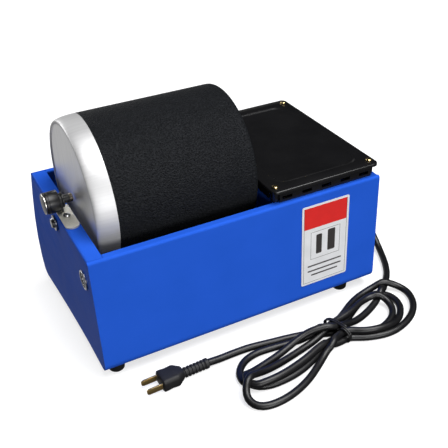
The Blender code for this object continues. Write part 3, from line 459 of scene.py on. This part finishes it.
SLOT_LOOKS = {
    "blue_paint": BLUE,
    "black_paint": BLACK,
    "leatherette": LEATHER,
    "brushed_cap": CAP_FACE,
    "bright_steel": STEEL,
    "brass": BRASS,
    "zinc_bracket": ZINC,
    "black_rubber": RUBBER,
    "grey_rubber": LINER,
    "black_plastic": PLASTIC,
    "white_plastic": NYLON,
    "motor_iron": IRON,
    "label_film": LABEL_WHITE,
}


NODE_LOOKS = {"stop_bracket": BRACKET, "side_bolt": DARK_STEEL}


def dress_cad_nodes():
    for entry in frame["record"]["subparts"]:
        node = frame["nodes"][entry["node"]]
        node.data.materials.clear()
        look = NODE_LOOKS.get(entry["node"], SLOT_LOOKS[entry["material_slot"]])
        node.data.materials.append(look)
        node.data.shade_smooth()
        node.data.set_sharp_from_angle(angle=math.radians(35))


# ---------------------------------------------------------------- finer pieces


def lid():
    """A rolled rim round a flat face, and a shoulder that curves out to the barrel's own radius."""
    centre = (0.0, BARREL_Y, BARREL_Z)
    right = CAP_LEFT + CAP_WIDTH
    face = CAP_LEFT + 0.0012
    profile = [(face, 0.0), (face, BARREL_RADIUS - 0.0064)]
    profile += [(face - 0.0004, BARREL_RADIUS - 0.0060), (CAP_LEFT + 0.0002, BARREL_RADIUS - 0.0053)]
    profile += [(CAP_LEFT, BARREL_RADIUS - 0.0047)]
    steps = 18
    for step in range(steps + 1):
        share = (step / steps) ** 1.6
        drop = 0.0038 * (1 - math.sqrt(1 - (1 - share) ** 2))
        profile.append((CAP_LEFT + CAP_WIDTH * share, BARREL_RADIUS - drop))
    inner = BARREL_RADIUS - COVER_WALL
    profile += [(right, inner), (CAP_LEFT + 0.0042, inner), (CAP_LEFT + 0.0042, 0.0)]
    mesh = lathe("lid_smooth", profile, centre, "x", 160)
    add_object("lid_smooth", mesh, LID_METAL, "barrel", ["lid_cap"], centre)


def barrel_skin():
    """The leatherette drum, folded over a soft edge at its right end."""
    centre = (0.0, BARREL_Y, BARREL_Z)
    left = CAP_LEFT + CAP_WIDTH + GAP
    edge = 0.0045
    inner = BARREL_RADIUS - COVER_WALL
    profile = [(left, inner), (left, BARREL_RADIUS - 0.0004), (left + 0.0005, BARREL_RADIUS)]
    profile += [(left + 0.002, BARREL_RADIUS)]
    profile += arc((BARREL_RIGHT - edge, BARREL_RADIUS - edge), edge, 90, 0, 10)
    profile += [(BARREL_RIGHT, BARREL_RADIUS - 0.010), (BARREL_RIGHT, 0.0)]
    profile += [(BARREL_RIGHT - COVER_WALL, 0.0), (BARREL_RIGHT - COVER_WALL, inner)]
    mesh = lathe("drum_skin", profile, centre, "x", 160)
    add_object("drum_skin", mesh, LEATHER, "barrel", ["barrel_cover"])


def add_block(points, faces, low, high):
    first = len(points)
    points += [(x, y, z) for z in (low[2], high[2]) for y in (low[1], high[1]) for x in (low[0], high[0])]
    for face in ((0, 1, 3, 2), (4, 5, 7, 6), (0, 1, 5, 4), (2, 3, 7, 6), (0, 2, 6, 4), (1, 3, 7, 5)):
        faces.append([first + i for i in face])


def cover_plate():
    """A pressed lid plate with a rolled edge and a shallow tray with soft sloping sides."""
    levels = [(0.0, COVER_UNDER, 0.0055), (0.0, COVER_TOP - 0.0008, 0.0055)]
    levels += [(0.0002, COVER_TOP - 0.0003, 0.0053), (0.0008, COVER_TOP, 0.0048)]
    loops = []
    for inset, z, radius in levels:
        box = (COVER_LEFT + inset, COVER_FRONT + inset, COVER_RIGHT - inset, COVER_BACK - inset)
        loops.append([(x, y, z) for x, y in rounded(*box, radius)])
    steps, depth, slope = 8, 0.0016, 0.0048
    for step in range(steps + 1):
        share = step / steps
        inset = 0.0105 + slope * share
        z = COVER_TOP - depth * (3 * share**2 - 2 * share**3)
        box = (COVER_LEFT + inset, COVER_FRONT + inset + 0.002, COVER_RIGHT - inset, COVER_BACK - inset - 0.002)
        loops.append([(x, y, z) for x, y in rounded(*box, 0.015 - slope * share)])
    return loft("cover_plate", loops, angle=50)


def cover_walls():
    """The walls under the plate: five vents front and back, plain sides."""
    points, faces = [], []
    foot, wall, inset, notch = PANEL + GAP, 0.0015, 0.0030, 0.0075
    vent_low, vent_high = PANEL + 0.0028, PANEL + 0.0060
    for y in (COVER_FRONT + inset, COVER_BACK - inset - wall):
        left, right = COVER_LEFT + notch, COVER_RIGHT - notch
        add_block(points, faces, (left, y, foot), (right, y + wall, vent_low))
        add_block(points, faces, (left, y, vent_high), (right, y + wall, COVER_UNDER))
        edge = left
        for index in range(5):
            middle = 0.1900 + index * 0.0210
            add_block(points, faces, (edge, y, vent_low), (middle - 0.00525, y + wall, vent_high))
            edge = middle + 0.00525
        add_block(points, faces, (edge, y, vent_low), (right, y + wall, vent_high))
    for x in (COVER_LEFT + inset, COVER_RIGHT - inset - wall):
        add_block(points, faces, (x, COVER_FRONT + 0.016, foot), (x + wall, COVER_BACK - 0.016, COVER_UNDER))
    return mesh_of("cover_walls", points, faces)


def motor_cover():
    plate = add_object("cover_plate", cover_plate(), BLACK, "chassis", ["motor_cover"])
    walls = add_object("cover_walls", cover_walls(), BLACK, "chassis")
    return plate, walls


def screw(node, low_radius, brass):
    low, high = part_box(node)
    middle = (low + high) / 2 + MIDDLE
    radius = (high.x - low.x) / 2
    top = high.z + MIDDLE.z
    bottom = low.z + MIDDLE.z
    head = top - 0.0018
    profile = [(bottom, 0.0), (bottom, low_radius), (head, low_radius), (head, radius - 0.0002)]
    profile += [(head + 0.0002, radius), (head + 0.0006, radius)]
    for step in range(1, 7):
        turn = math.radians(90 * step / 6)
        profile.append((head + 0.0006 + 0.0012 * math.sin(turn), radius * math.cos(turn) if step < 6 else 0.0))
    centre = (middle.x, middle.y, 0.0)
    mesh = lathe(node + "_head", profile, centre, "z", 40)
    look = BRASS_SCREW if brass else STEEL_SCREW
    add_object(node + "_head", mesh, look, frame_body(node), [node], (middle.x, middle.y, top))


def frame_body(node):
    for body, members in frame["record"]["behaviour"]["bodies"].items():
        if node in members:
            return body
    return "chassis"


def bearing(node):
    low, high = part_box(node)
    left, right = low.x + MIDDLE.x, high.x + MIDDLE.x
    y, z = (low.y + high.y) / 2 + MIDDLE.y, (low.z + high.z) / 2 + MIDDLE.z
    bore, rim, body = 0.0043, 0.0090, 0.0080
    profile = [(right, bore), (left + 0.0002, bore), (left, bore + 0.0002), (left, bore + 0.0007)]
    profile += [(left + 0.0005, bore + 0.0009), (left + 0.0005, rim - 0.0019), (left, rim - 0.0015)]
    profile += [(left, rim - 0.0003), (left + 0.0003, rim), (left + 0.0010, rim)]
    profile += [(left + 0.0010, body), (right, body)]
    mesh = lathe(node + "_race", profile, (0.0, y, z), "x", 56)
    add_object(node + "_race", mesh, BEARING, frame_body(node), [node], (left, y, z))


def end_stop():
    """The adjustable stop: a moulded knob over the bolt, a light disc at its end and a dull metal tip."""
    centre = (0.0, BARREL_Y, STOP_Z)
    left, right, edge = -0.0080, 0.0044, 0.0009
    profile = [(left, 0.0035), (left, STOP_RADIUS - edge)]
    profile += [(left + edge * 0.3, STOP_RADIUS - edge * 0.3), (left + edge, STOP_RADIUS)]
    profile += [(left + 0.0022, STOP_RADIUS), (left + 0.0025, STOP_RADIUS - 0.0003)]
    profile += [(left + 0.0028, STOP_RADIUS - 0.0003), (left + 0.0031, STOP_RADIUS)]
    profile += [(right - edge, STOP_RADIUS), (right - edge * 0.3, STOP_RADIUS - edge * 0.3)]
    profile += [(right, STOP_RADIUS - edge), (right, 0.0035)]
    mesh = lathe("stop_knob", profile, centre, "x", 72)
    add_object("stop_knob", mesh, PLASTIC, "chassis", ["stop_sleeve"])
    profile = [(-0.0096, 0.0), (-0.0096, 0.0088), (-0.0094, 0.0092), (-0.0089, 0.0096)]
    profile += [(-0.0083, 0.0096), (-0.0083, 0.0)]
    mesh = lathe("stop_face", profile, centre, "x", 72)
    add_object("stop_face", mesh, STOP_FACE, "chassis", ["stop_end_disc"], centre)
    profile = [(-0.0076, 0.0), (-0.0076, 0.0031), (0.0065, 0.0031), (0.0065, 0.0066)]
    profile += [(0.0069, 0.0070), (0.0081, 0.0070), (0.0085, 0.0066), (0.0085, 0.0040)]
    profile += [(0.0136, 0.0040), (0.0140, 0.0037), (0.0144, 0.0040)]
    profile += [(0.0164, 0.0040), (0.0170, 0.0034), (0.0170, 0.0)]
    mesh = lathe("stop_rod", profile, centre, "x", 48)
    add_object("stop_rod", mesh, STOP_ROD, "chassis", ["stop_bolt"], centre)


def label():
    """A plain film: a red band over a framed panel with two bars and three rules, and no lettering."""
    left, bottom, width, height = 0.2030, 0.0210, 0.0525, 0.0900
    back = -GAP

    def film(name, shape, thickness, look, replaced=()):
        loops = [[(x + left, y, z + bottom) for x, z in shape] for y in (back, back - thickness)]
        add_object(name, loft(name, loops), look, "chassis", replaced)

    def slab(x0, z0, x1, z1, radius=0.0005):
        return rounded(x0, z0, x1, z1, radius, 3)

    film("label_base", rounded(0.0, 0.0, width, height, 0.0020, 4), 0.00014, LABEL_WHITE, ["front_label"])
    inner = 0.0022
    line = 0.00035
    sides = (
        (inner, inner, inner + line, height - inner),
        (width - inner - line, inner, width - inner, height - inner),
        (inner, inner, width - inner, inner + line),
    )
    for index, side in enumerate(sides):
        film(f"label_rule_{index}", slab(*side, 0.0001), 0.00017, LABEL_GREY)
    film("label_band", slab(inner, 0.0645, width - inner, height - inner), 0.00017, LABEL_RED)
    frame_left, frame_right, frame_low, frame_high = 0.0100, 0.0430, 0.0290, 0.0600
    rules = (
        (frame_left, frame_low, frame_left + line, frame_high),
        (frame_right - line, frame_low, frame_right, frame_high),
        (frame_left, frame_low, frame_right, frame_low + line),
        (frame_left, frame_high - line, frame_right, frame_high),
    )
    for index, side in enumerate(rules):
        film(f"label_frame_{index}", slab(*side, 0.0001), 0.00017, LABEL_GREY)
    film("label_bar_0", slab(0.0160, 0.0340, 0.0225, 0.0560, 0.0012), 0.00018, LABEL_GREY)
    film("label_bar_1", slab(0.0290, 0.0340, 0.0375, 0.0580, 0.0012), 0.00018, LABEL_GREY)
    for index, (z, inset) in enumerate(((0.0205, 0.0070), (0.0145, 0.0070), (0.0095, 0.0110))):
        film(f"label_line_{index}", slab(inset, z, width - inset, z + 0.0016), 0.00018, LABEL_GREY)


def finer_pieces():
    lid()
    barrel_skin()
    motor_cover()
    for x in ("left", "right"):
        for y in ("front", "back"):
            screw(f"cover_screw_{y}_{x}", 0.0012, True)
    screw("stop_foot_screw", 0.0020, False)
    bearing("drive_bearing_left")
    end_stop()
    label()


# ---------------------------------------------------------------- camera, floor and light

CAMERA_LENS, CAMERA_SHIFT = 59.8, -0.0583
CAMERA_PLACE = (-0.25057, -0.58766, 0.47460)
CAMERA_TURN = (57.666, 1.4685, -28.2787)
FLOOR_HALF = 12.0
FLOOR_DROP = 0.00002  # the floor lies this far under the feet, so that the two don't share a plane

# Surroundings: soft patches by direction (towards, where it starts, strength) over an even dim level
WORLD_BASE = 0.05
WORLD_LOBES = (
    ((0.45, -0.80, 0.30), -0.1, 0.50),
    ((0.0, 0.0, 1.0), 0.3, 0.35),
    ((-0.18, 0.86, -0.48), 0.50, 12.0),
    ((-0.10, -0.75, -0.70), 0.35, 1.30),
)


def camera_and_stage():
    """The camera, a pale floor that reflections don't see, the surroundings and four lights."""
    data = bpy.data.cameras.new("camera")
    data.sensor_width = 36.0
    data.lens = CAMERA_LENS
    data.shift_x = CAMERA_SHIFT
    camera = bpy.data.objects.new("camera", data)
    camera.location = CAMERA_PLACE
    camera.rotation_euler = [math.radians(a) for a in CAMERA_TURN]
    bpy.context.scene.collection.objects.link(camera)
    bpy.context.scene.camera = camera
    bpy.context.scene.view_settings.view_transform = "Standard"

    shape = bmesh.new()
    corners = []
    for x, y in ((-1, -1), (1, -1), (1, 1), (-1, 1)):
        corners.append(shape.verts.new((x * FLOOR_HALF, y * FLOOR_HALF, -FLOOR_DROP)))
    shape.faces.new(corners)
    mesh = bpy.data.meshes.new("floor")
    shape.to_mesh(mesh)
    shape.free()
    floor = bpy.data.objects.new("floor", mesh)
    bpy.context.scene.collection.objects.link(floor)
    look = Shader("floor_white", (0.42, 0.42, 0.42), 0.9)
    look.set("Specular IOR Level", 0.0)
    look.colour(look.ramp(look.noise(3, 2.0), 0.0, 1.0, (0.41, 0.41, 0.41), (0.43, 0.43, 0.43)))
    look.set("Emission Color", (1.0, 1.0, 1.0, 1.0))
    look.set("Emission Strength", 0.70)
    mesh.materials.append(look.material)
    floor.visible_diffuse = False
    floor.visible_glossy = False

    world = bpy.data.worlds.new("studio")
    bpy.context.scene.world = world
    world.use_nodes = True
    tree = world.node_tree
    way = tree.nodes.new("ShaderNodeTexCoord").outputs["Generated"]

    def lobe(towards, start, strength):
        """A soft patch of light in the surroundings, brightest towards the given direction."""
        dot = tree.nodes.new("ShaderNodeVectorMath")
        dot.operation = "DOT_PRODUCT"
        dot.inputs[1].default_value = Vector(towards).normalized()
        tree.links.new(way, dot.inputs[0])
        span = tree.nodes.new("ShaderNodeMapRange")
        span.interpolation_type = "SMOOTHSTEP"
        for socket, value in (("From Min", start), ("From Max", 1.0), ("To Min", 0.0), ("To Max", strength)):
            span.inputs[socket].default_value = value
        tree.links.new(dot.outputs["Value"], span.inputs["Value"])
        return span.outputs["Result"]

    total = None
    for towards, start, strength in WORLD_LOBES:
        patch = lobe(towards, start, strength)
        add = tree.nodes.new("ShaderNodeMath")
        add.operation = "ADD"
        tree.links.new(patch, add.inputs[0])
        if total is None:
            add.inputs[1].default_value = WORLD_BASE
        else:
            tree.links.new(total, add.inputs[1])
        total = add.outputs["Value"]
    tree.links.new(total, tree.nodes["Background"].inputs["Strength"])

    def sun(name, towards, strength, spread):
        light = bpy.data.lights.new(name, "SUN")
        light.energy = strength
        light.angle = math.radians(spread)
        obj = bpy.data.objects.new(name, light)
        obj.rotation_euler = Vector(towards).to_track_quat("Z", "Y").to_euler()
        bpy.context.scene.collection.objects.link(obj)

    def softbox(name, place, aim, width, height, power, matt=1.0):
        light = bpy.data.lights.new(name, "AREA")
        light.diffuse_factor = matt
        light.shape = "RECTANGLE"
        light.size, light.size_y = width, height
        light.energy = power
        obj = bpy.data.objects.new(name, light)
        obj.location = place
        obj.rotation_euler = (Vector(place) - Vector(aim)).to_track_quat("Z", "Y").to_euler()
        bpy.context.scene.collection.objects.link(obj)

    sun("sky", (0.25, -0.28, 1.0), 3.8, 44)
    softbox("front_box", (0.75, -1.3, 0.95), (0.0, 0.0, 0.08), 1.2, 0.9, 3.0)
    softbox("low_box", (-0.05, -1.2, 0.28), (-0.06, 0.0, 0.12), 0.9, 0.4, 7.5)
    softbox("back_strip", (-0.75, 1.25, 0.65), (0.05, 0.0, 0.12), 1.0, 0.3, 9, 0.1)


# ---------------------------------------------------------------- mains lead

CORD_RADIUS = 0.0035
BENCH = -0.009

# Where the strands run, in millimetres in the CAD's frame, in the order the lead passes them.
LEAD = (
    (315.3, 75, 28),
    (319, 75, 28),
    (325, 74, 26.6),
    (330, 71, 21),
    (333.8, 66, 12.5),
    (335, 59, 4.5),
    (334, 50, -1),
    (331, 40, -4.2),
    (326, 28, -5.5),
    (319, 14, -5.5),
    (311, 2, -5),
    (300, -9, -4),
    (288, -20, -4.5),
    (273, -30, -5),
    (257, -38, -4),
    (240, -44, -1),
)
LEFT_A = (
    (194, -46, 3),
    (180, -43.5, 3),
    (164, -45, 3),
    (148, -49, 3),
    (132, -53, 2.5),
    (119, -56.5, 2),
    (108, -60.5, 1.5),
    (102.5, -68, 1.5),
    (106.5, -76, 1.5),
    (119, -79, 1.5),
    (134, -78.5, 1.5),
    (150, -75, 2),
    (168, -70, 2),
    (188, -63, 0),
)
RIGHT_A = (
    (238, -70, -5.5),
    (256, -74, -5.5),
    (276, -71, -5.5),
    (296, -60, -5.5),
    (308, -44, -5.5),
    (311, -28, -4),
    (304, -18, 0),
    (293, -14, 0),
    (279, -11, -3),
    (262, -14, -5.5),
    (247, -22, -5.5),
    (233, -31, -5.5),
)
LEFT_B = (
    (188, -43, -4.5),
    (168, -40, -5.5),
    (148, -37, -5.5),
    (132, -36, -5),
    (118, -40, -4),
    (108, -49, -4),
    (104, -60, -5),
    (108, -71, -5.5),
    (120, -78, -5.5),
    (138, -79, -5.5),
    (157, -76, -5.5),
    (175, -69, -5),
    (190, -62, -4.5),
)
RIGHT_B = (
    (236, -63, -2),
    (251, -65, 1),
    (265, -62, 1.5),
    (276, -54, 1.5),
    (283, -42, 1.5),
    (281, -31, 1),
    (270, -25.5, 1),
    (255, -28, 1),
    (238, -36, 1),
)
LEFT_C = (
    (190, -49, 2),
    (175, -52, 3),
    (160, -55.5, 4.5),
    (143, -60, 6),
    (127, -64, 8),
    (114, -67, 8),
    (103, -73, 4),
    (97.5, -82, -2),
    (98, -91, -5.5),
    (106, -98, -5.5),
    (120, -99.8, -5.5),
    (137, -97, -5.5),
    (156, -89.5, -5.5),
    (175, -77.5, -5.5),
    (191, -67, -3.5),
)
RIGHT_C = (
    (235, -67, 0),
    (250, -70, 0),
    (268, -66.5, -1),
    (283, -57, -2),
    (292, -43, -3),
    (291.5, -28, -4),
    (282, -19, -5),
    (268, -19, -5.5),
    (251, -25.5, -5.5),
    (235, -35, -5.5),
)
TAIL = (
    (190, -38, -5),
    (171, -33, -5.5),
    (150, -29.5, -5.5),
    (130, -26, -5.5),
    (112, -25.6, -5.5),
    (100, -26.1, -5.2),
    (93, -26.5, -4.4),
    (87.5, -26.8, -3.9),
)
FOLD = 17.0  # the tightest fold the lead takes, as a radius in millimetres
TIE_CENTRE = Vector((213.0, -50.5))
TIE_ALONG = Vector((0.955, 0.296)).normalized()
# Each pass through the tie: how far across the bundle and how high it lies
TIE_PASSES = ((1.5, 1.0), (-10.5, -5.5), (10.5, -5.5), (-3.5, -5.5), (8.5, 1.0), (-6.5, 1.0), (3.5, -5.5))


def through_tie(index, leftwards):
    across, height = TIE_PASSES[index]
    side = Vector((-TIE_ALONG.y, TIE_ALONG.x)) * across
    found = []
    for shift in (3.0, -3.0):
        place = TIE_CENTRE + side + TIE_ALONG * shift
        found.append((place.x, place.y, height))
    return found if leftwards else found[::-1]


def smooth_line(points, spacing):
    """Evenly spaced points on a centripetal curve through the given ones."""
    knots = [np.array(p, float) for p in points]
    knots = [2 * knots[0] - knots[1], *knots, 2 * knots[-1] - knots[-2]]
    dense = []
    for a, b, c, d in zip(knots, knots[1:], knots[2:], knots[3:]):
        t0 = 0.0
        t1 = t0 + math.sqrt(np.linalg.norm(b - a))
        t2 = t1 + math.sqrt(np.linalg.norm(c - b))
        t3 = t2 + math.sqrt(np.linalg.norm(d - c))
        for step in range(16):
            t = t1 + (t2 - t1) * step / 16
            ab = (t1 - t) / (t1 - t0) * a + (t - t0) / (t1 - t0) * b
            bc = (t2 - t) / (t2 - t1) * b + (t - t1) / (t2 - t1) * c
            cd = (t3 - t) / (t3 - t2) * c + (t - t2) / (t3 - t2) * d
            abc = (t2 - t) / (t2 - t0) * ab + (t - t0) / (t2 - t0) * bc
            bcd = (t3 - t) / (t3 - t1) * bc + (t - t1) / (t3 - t1) * cd
            dense.append((t2 - t) / (t2 - t1) * abc + (t - t1) / (t2 - t1) * bcd)
    dense.append(knots[-2])
    dense = np.array(dense)
    lengths = np.concatenate([[0], np.cumsum(np.linalg.norm(np.diff(dense, axis=0), axis=1))])
    count = round(lengths[-1] / spacing)
    wanted = np.linspace(0, lengths[-1], count + 1)
    return np.stack([np.interp(wanted, lengths, dense[:, k]) for k in range(3)], axis=1)


def settle(line, rounds=260):
    """Lets the lead lie: strands press each other aside, sink to the bench and keep their length."""
    radius = CORD_RADIUS * 1000
    floor = BENCH * 1000 + radius
    home = line.copy()
    count = len(line)
    spacing = np.linalg.norm(np.diff(line, axis=0), axis=1)
    index = np.arange(count)
    apart = np.abs(index[:, None] - index[None, :]) > 5
    held = np.ones(count)
    held[:6] = 0.0
    held[-4:] = 0.0
    for step in range(rounds):
        sink = 0.05 if step < rounds * 0.8 else 0.0
        line[:, 2] -= sink * held
        bend = np.zeros_like(line)
        bend[1:-1] = (line[:-2] + line[2:]) / 2 - line[1:-1]
        line += 0.12 * bend * held[:, None]
        reach = 4
        sag = np.zeros_like(line)
        sag[reach:-reach] = (line[: -2 * reach] + line[2 * reach :]) / 2 - line[reach:-reach]
        depth = np.linalg.norm(sag, axis=1) + 1e-9
        most = (reach * spacing[0]) ** 2 / (2 * FOLD)
        line += 0.35 * sag * (np.maximum(depth - most, 0) / depth * held)[:, None]
        line[:, :2] += 0.06 * (home - line)[:, :2] * held[:, None]
        gaps = line[:, None, :] - line[None, :, :]
        distance = np.sqrt((gaps**2).sum(-1)) + 1e-9
        close = apart & (distance < 2 * radius)
        push = np.where(close, (2 * radius - distance) / distance * 0.25, 0.0)
        line += (push[:, :, None] * gaps).sum(1) * held[:, None]
        step_gap = np.diff(line, axis=0)
        length = np.linalg.norm(step_gap, axis=1)
        fix = (step_gap / length[:, None]) * ((length - spacing) * 0.5)[:, None]
        line[:-1] += fix * held[:-1, None]
        line[1:] -= fix * held[1:, None]
        line[:, 2] = np.maximum(line[:, 2], floor)
    return line


def strand_route():
    route = list(LEAD)
    parts = (LEFT_A, RIGHT_A, LEFT_B, RIGHT_B, LEFT_C, RIGHT_C, TAIL)
    for index, part in enumerate(parts):
        route += through_tie(index, leftwards=index % 2 == 0)
        route += list(part)
    return route


PLUG_START = Vector((0.0875, -0.0268, -0.0039))
PLUG_WAY = Vector((-0.9990, -0.0450, 0.0)).normalized()
PLUG_HALF_HEIGHT = 0.0065
BOOT_LENGTH = 0.0257
BLADE_SIDE, BLADE_HALF = 0.00635, 0.00075  # each blade's distance from the middle, and half its thickness
BODY_STATIONS = (  # along the plug, half width, half height
    (0.0260, 0.0054, 0.0046),
    (0.0268, 0.0060, 0.0052),
    (0.0290, 0.0072, 0.0057),
    (0.0318, 0.0092, 0.0064),
    (0.0336, 0.0099, 0.0065),
    (0.0400, 0.0096, 0.0062),
    (0.0440, 0.0099, 0.0065),
    (0.0472, 0.0099, 0.0065),
    (0.0480, 0.0090, 0.0057),
)


def plug_point(along, across, up, rise=1.0):
    """A point on the plug, measured along it from where the lead ends; the plug lies on the bench."""
    side = Vector((-PLUG_WAY.y, PLUG_WAY.x, 0.0))
    lift = (PLUG_HALF_HEIGHT + BENCH - PLUG_START.z) * rise
    return PLUG_START + PLUG_WAY * (along + GAP) + side * across + Vector((0, 0, up + lift))


def plug_pieces():
    """A ribbed boot, a moulded body narrowed at its neck, and two flat blades."""
    loops = []
    stations = [(0.0, 0.0041), (0.0006, 0.0050), (0.0034, 0.0050), (0.0040, 0.0045)]
    for rib in range(6):
        start = 0.0048 + rib * 0.0034
        stations += [(start, 0.0040), (start + 0.0004, 0.0049)]
        stations += [(start + 0.0021, 0.0049), (start + 0.0025, 0.0040)]
    stations += [(BOOT_LENGTH, 0.0044)]
    for along, radius in stations:
        loop = []
        for step in range(28):
            turn = 2 * math.pi * step / 28
            loop.append(plug_point(along, radius * math.cos(turn), radius * math.sin(turn), 0.0))
        loops.append(loop)
    boot = loft("plug_ribs", loops)
    add_object("plug_ribs", boot, RUBBER, "chassis", ["plug_boot"])
    loops = []
    for along, wide, high in BODY_STATIONS:
        outline = rounded(-wide, -high, wide, high, 0.0036, 5)
        loops.append([plug_point(along, a, b) for a, b in outline])
    body = loft("plug_moulding", loops, angle=50)
    add_object("plug_moulding", body, RUBBER, "chassis", ["plug_body"])
    for node, side in (("plug_blade_near", -1), ("plug_blade_far", 1)):
        loops = []
        for along, half in ((0.0484, 0.0031), (0.0612, 0.0031), (0.0626, 0.0024), (0.0633, 0.0014)):
            middle = side * BLADE_SIDE
            outline = rounded(middle - BLADE_HALF, -half, middle + BLADE_HALF, half, 0.0002, 2)
            loops.append([plug_point(along, a, b) for a, b in outline])
        blade = loft(node + "_pressed", loops, angle=40)
        add_object(node + "_pressed", blade, BRASS, "chassis", [node])


TIE_STEPS, TIE_TURNS, TIE_PITCH = 96, 2.0, 2.2
TIE_HALF_WIDTH, TIE_HALF_HEIGHT = 15.6, 8.2


def tie_band():
    """A coated wire tie: two turns round the bundle and two short ends twisted together."""
    points = []
    side = Vector((-TIE_ALONG.y, TIE_ALONG.x))
    for step in range(TIE_STEPS + 1):
        turn = 2 * math.pi * TIE_TURNS * step / TIE_STEPS + math.radians(120)
        shift = TIE_PITCH * (TIE_TURNS * step / TIE_STEPS - 1)
        across, up = TIE_HALF_WIDTH * math.cos(turn), TIE_HALF_HEIGHT * math.sin(turn)
        squash = 1 + 0.10 * abs(math.sin(2 * turn))
        place = TIE_CENTRE + side * (across * squash) + TIE_ALONG * shift
        points.append((place.x, place.y, -1.4 + up * squash))
    for end, sway in ((0, -1), (-1, 1)):
        last = Vector(points[end])
        tail = []
        for step in range(1, 6):
            across = side * (1.3 * step)
            wave = math.sin(step * 1.3) * 0.8
            x = last.x + across.x + TIE_ALONG.x * sway * wave
            tail.append((x, last.y + across.y, last.z - 0.9 * step + wave))
        points = tail[::-1] + points if end == 0 else points + tail
    curve = bpy.data.curves.new("wire_tie", "CURVE")
    curve.dimensions = "3D"
    curve.bevel_depth = 0.0010
    curve.bevel_resolution = 3
    curve.use_fill_caps = True
    spline = curve.splines.new("POLY")
    spline.points.add(len(points) - 1)
    for point, place in zip(spline.points, points):
        low = max(place[2], BENCH * 1000 + 1.1)
        point.co = (*(Vector((place[0], place[1], low)) / 1000 - MIDDLE), 1.0)
    spline.use_smooth = True
    add_object("wire_tie", curve, PLASTIC, "chassis", ["cord_tie"])


def mains_lead():
    """The whole lead as one curve, with its length and the point where it leaves the gland."""
    line = settle(smooth_line(strand_route(), 4.0))
    line = np.array([[x / 1000, y / 1000, z / 1000] for x, y, z in line]) - np.array(MIDDLE)
    length = float(np.linalg.norm(np.diff(line, axis=0), axis=1).sum())
    curve = bpy.data.curves.new("mains_cord", "CURVE")
    curve.dimensions = "3D"
    curve.bevel_depth = CORD_RADIUS
    curve.bevel_resolution = 4
    curve.use_fill_caps = True
    spline = curve.splines.new("POLY")
    spline.points.add(len(line) - 1)
    for point, place in zip(spline.points, line):
        point.co = (*place, 1.0)
    spline.use_smooth = True
    replaced = ("cord_lead", "cord_hank", "cord_tail")
    cord = add_object("mains_cord", curve, CORD, "chassis", replaced)
    return cord, length, line[0]


def main():
    camera_and_stage()
    dress_cad_nodes()
    finer_pieces()
    plug_pieces()
    tie_band()
    cord, length, exit_point = mains_lead()


main()
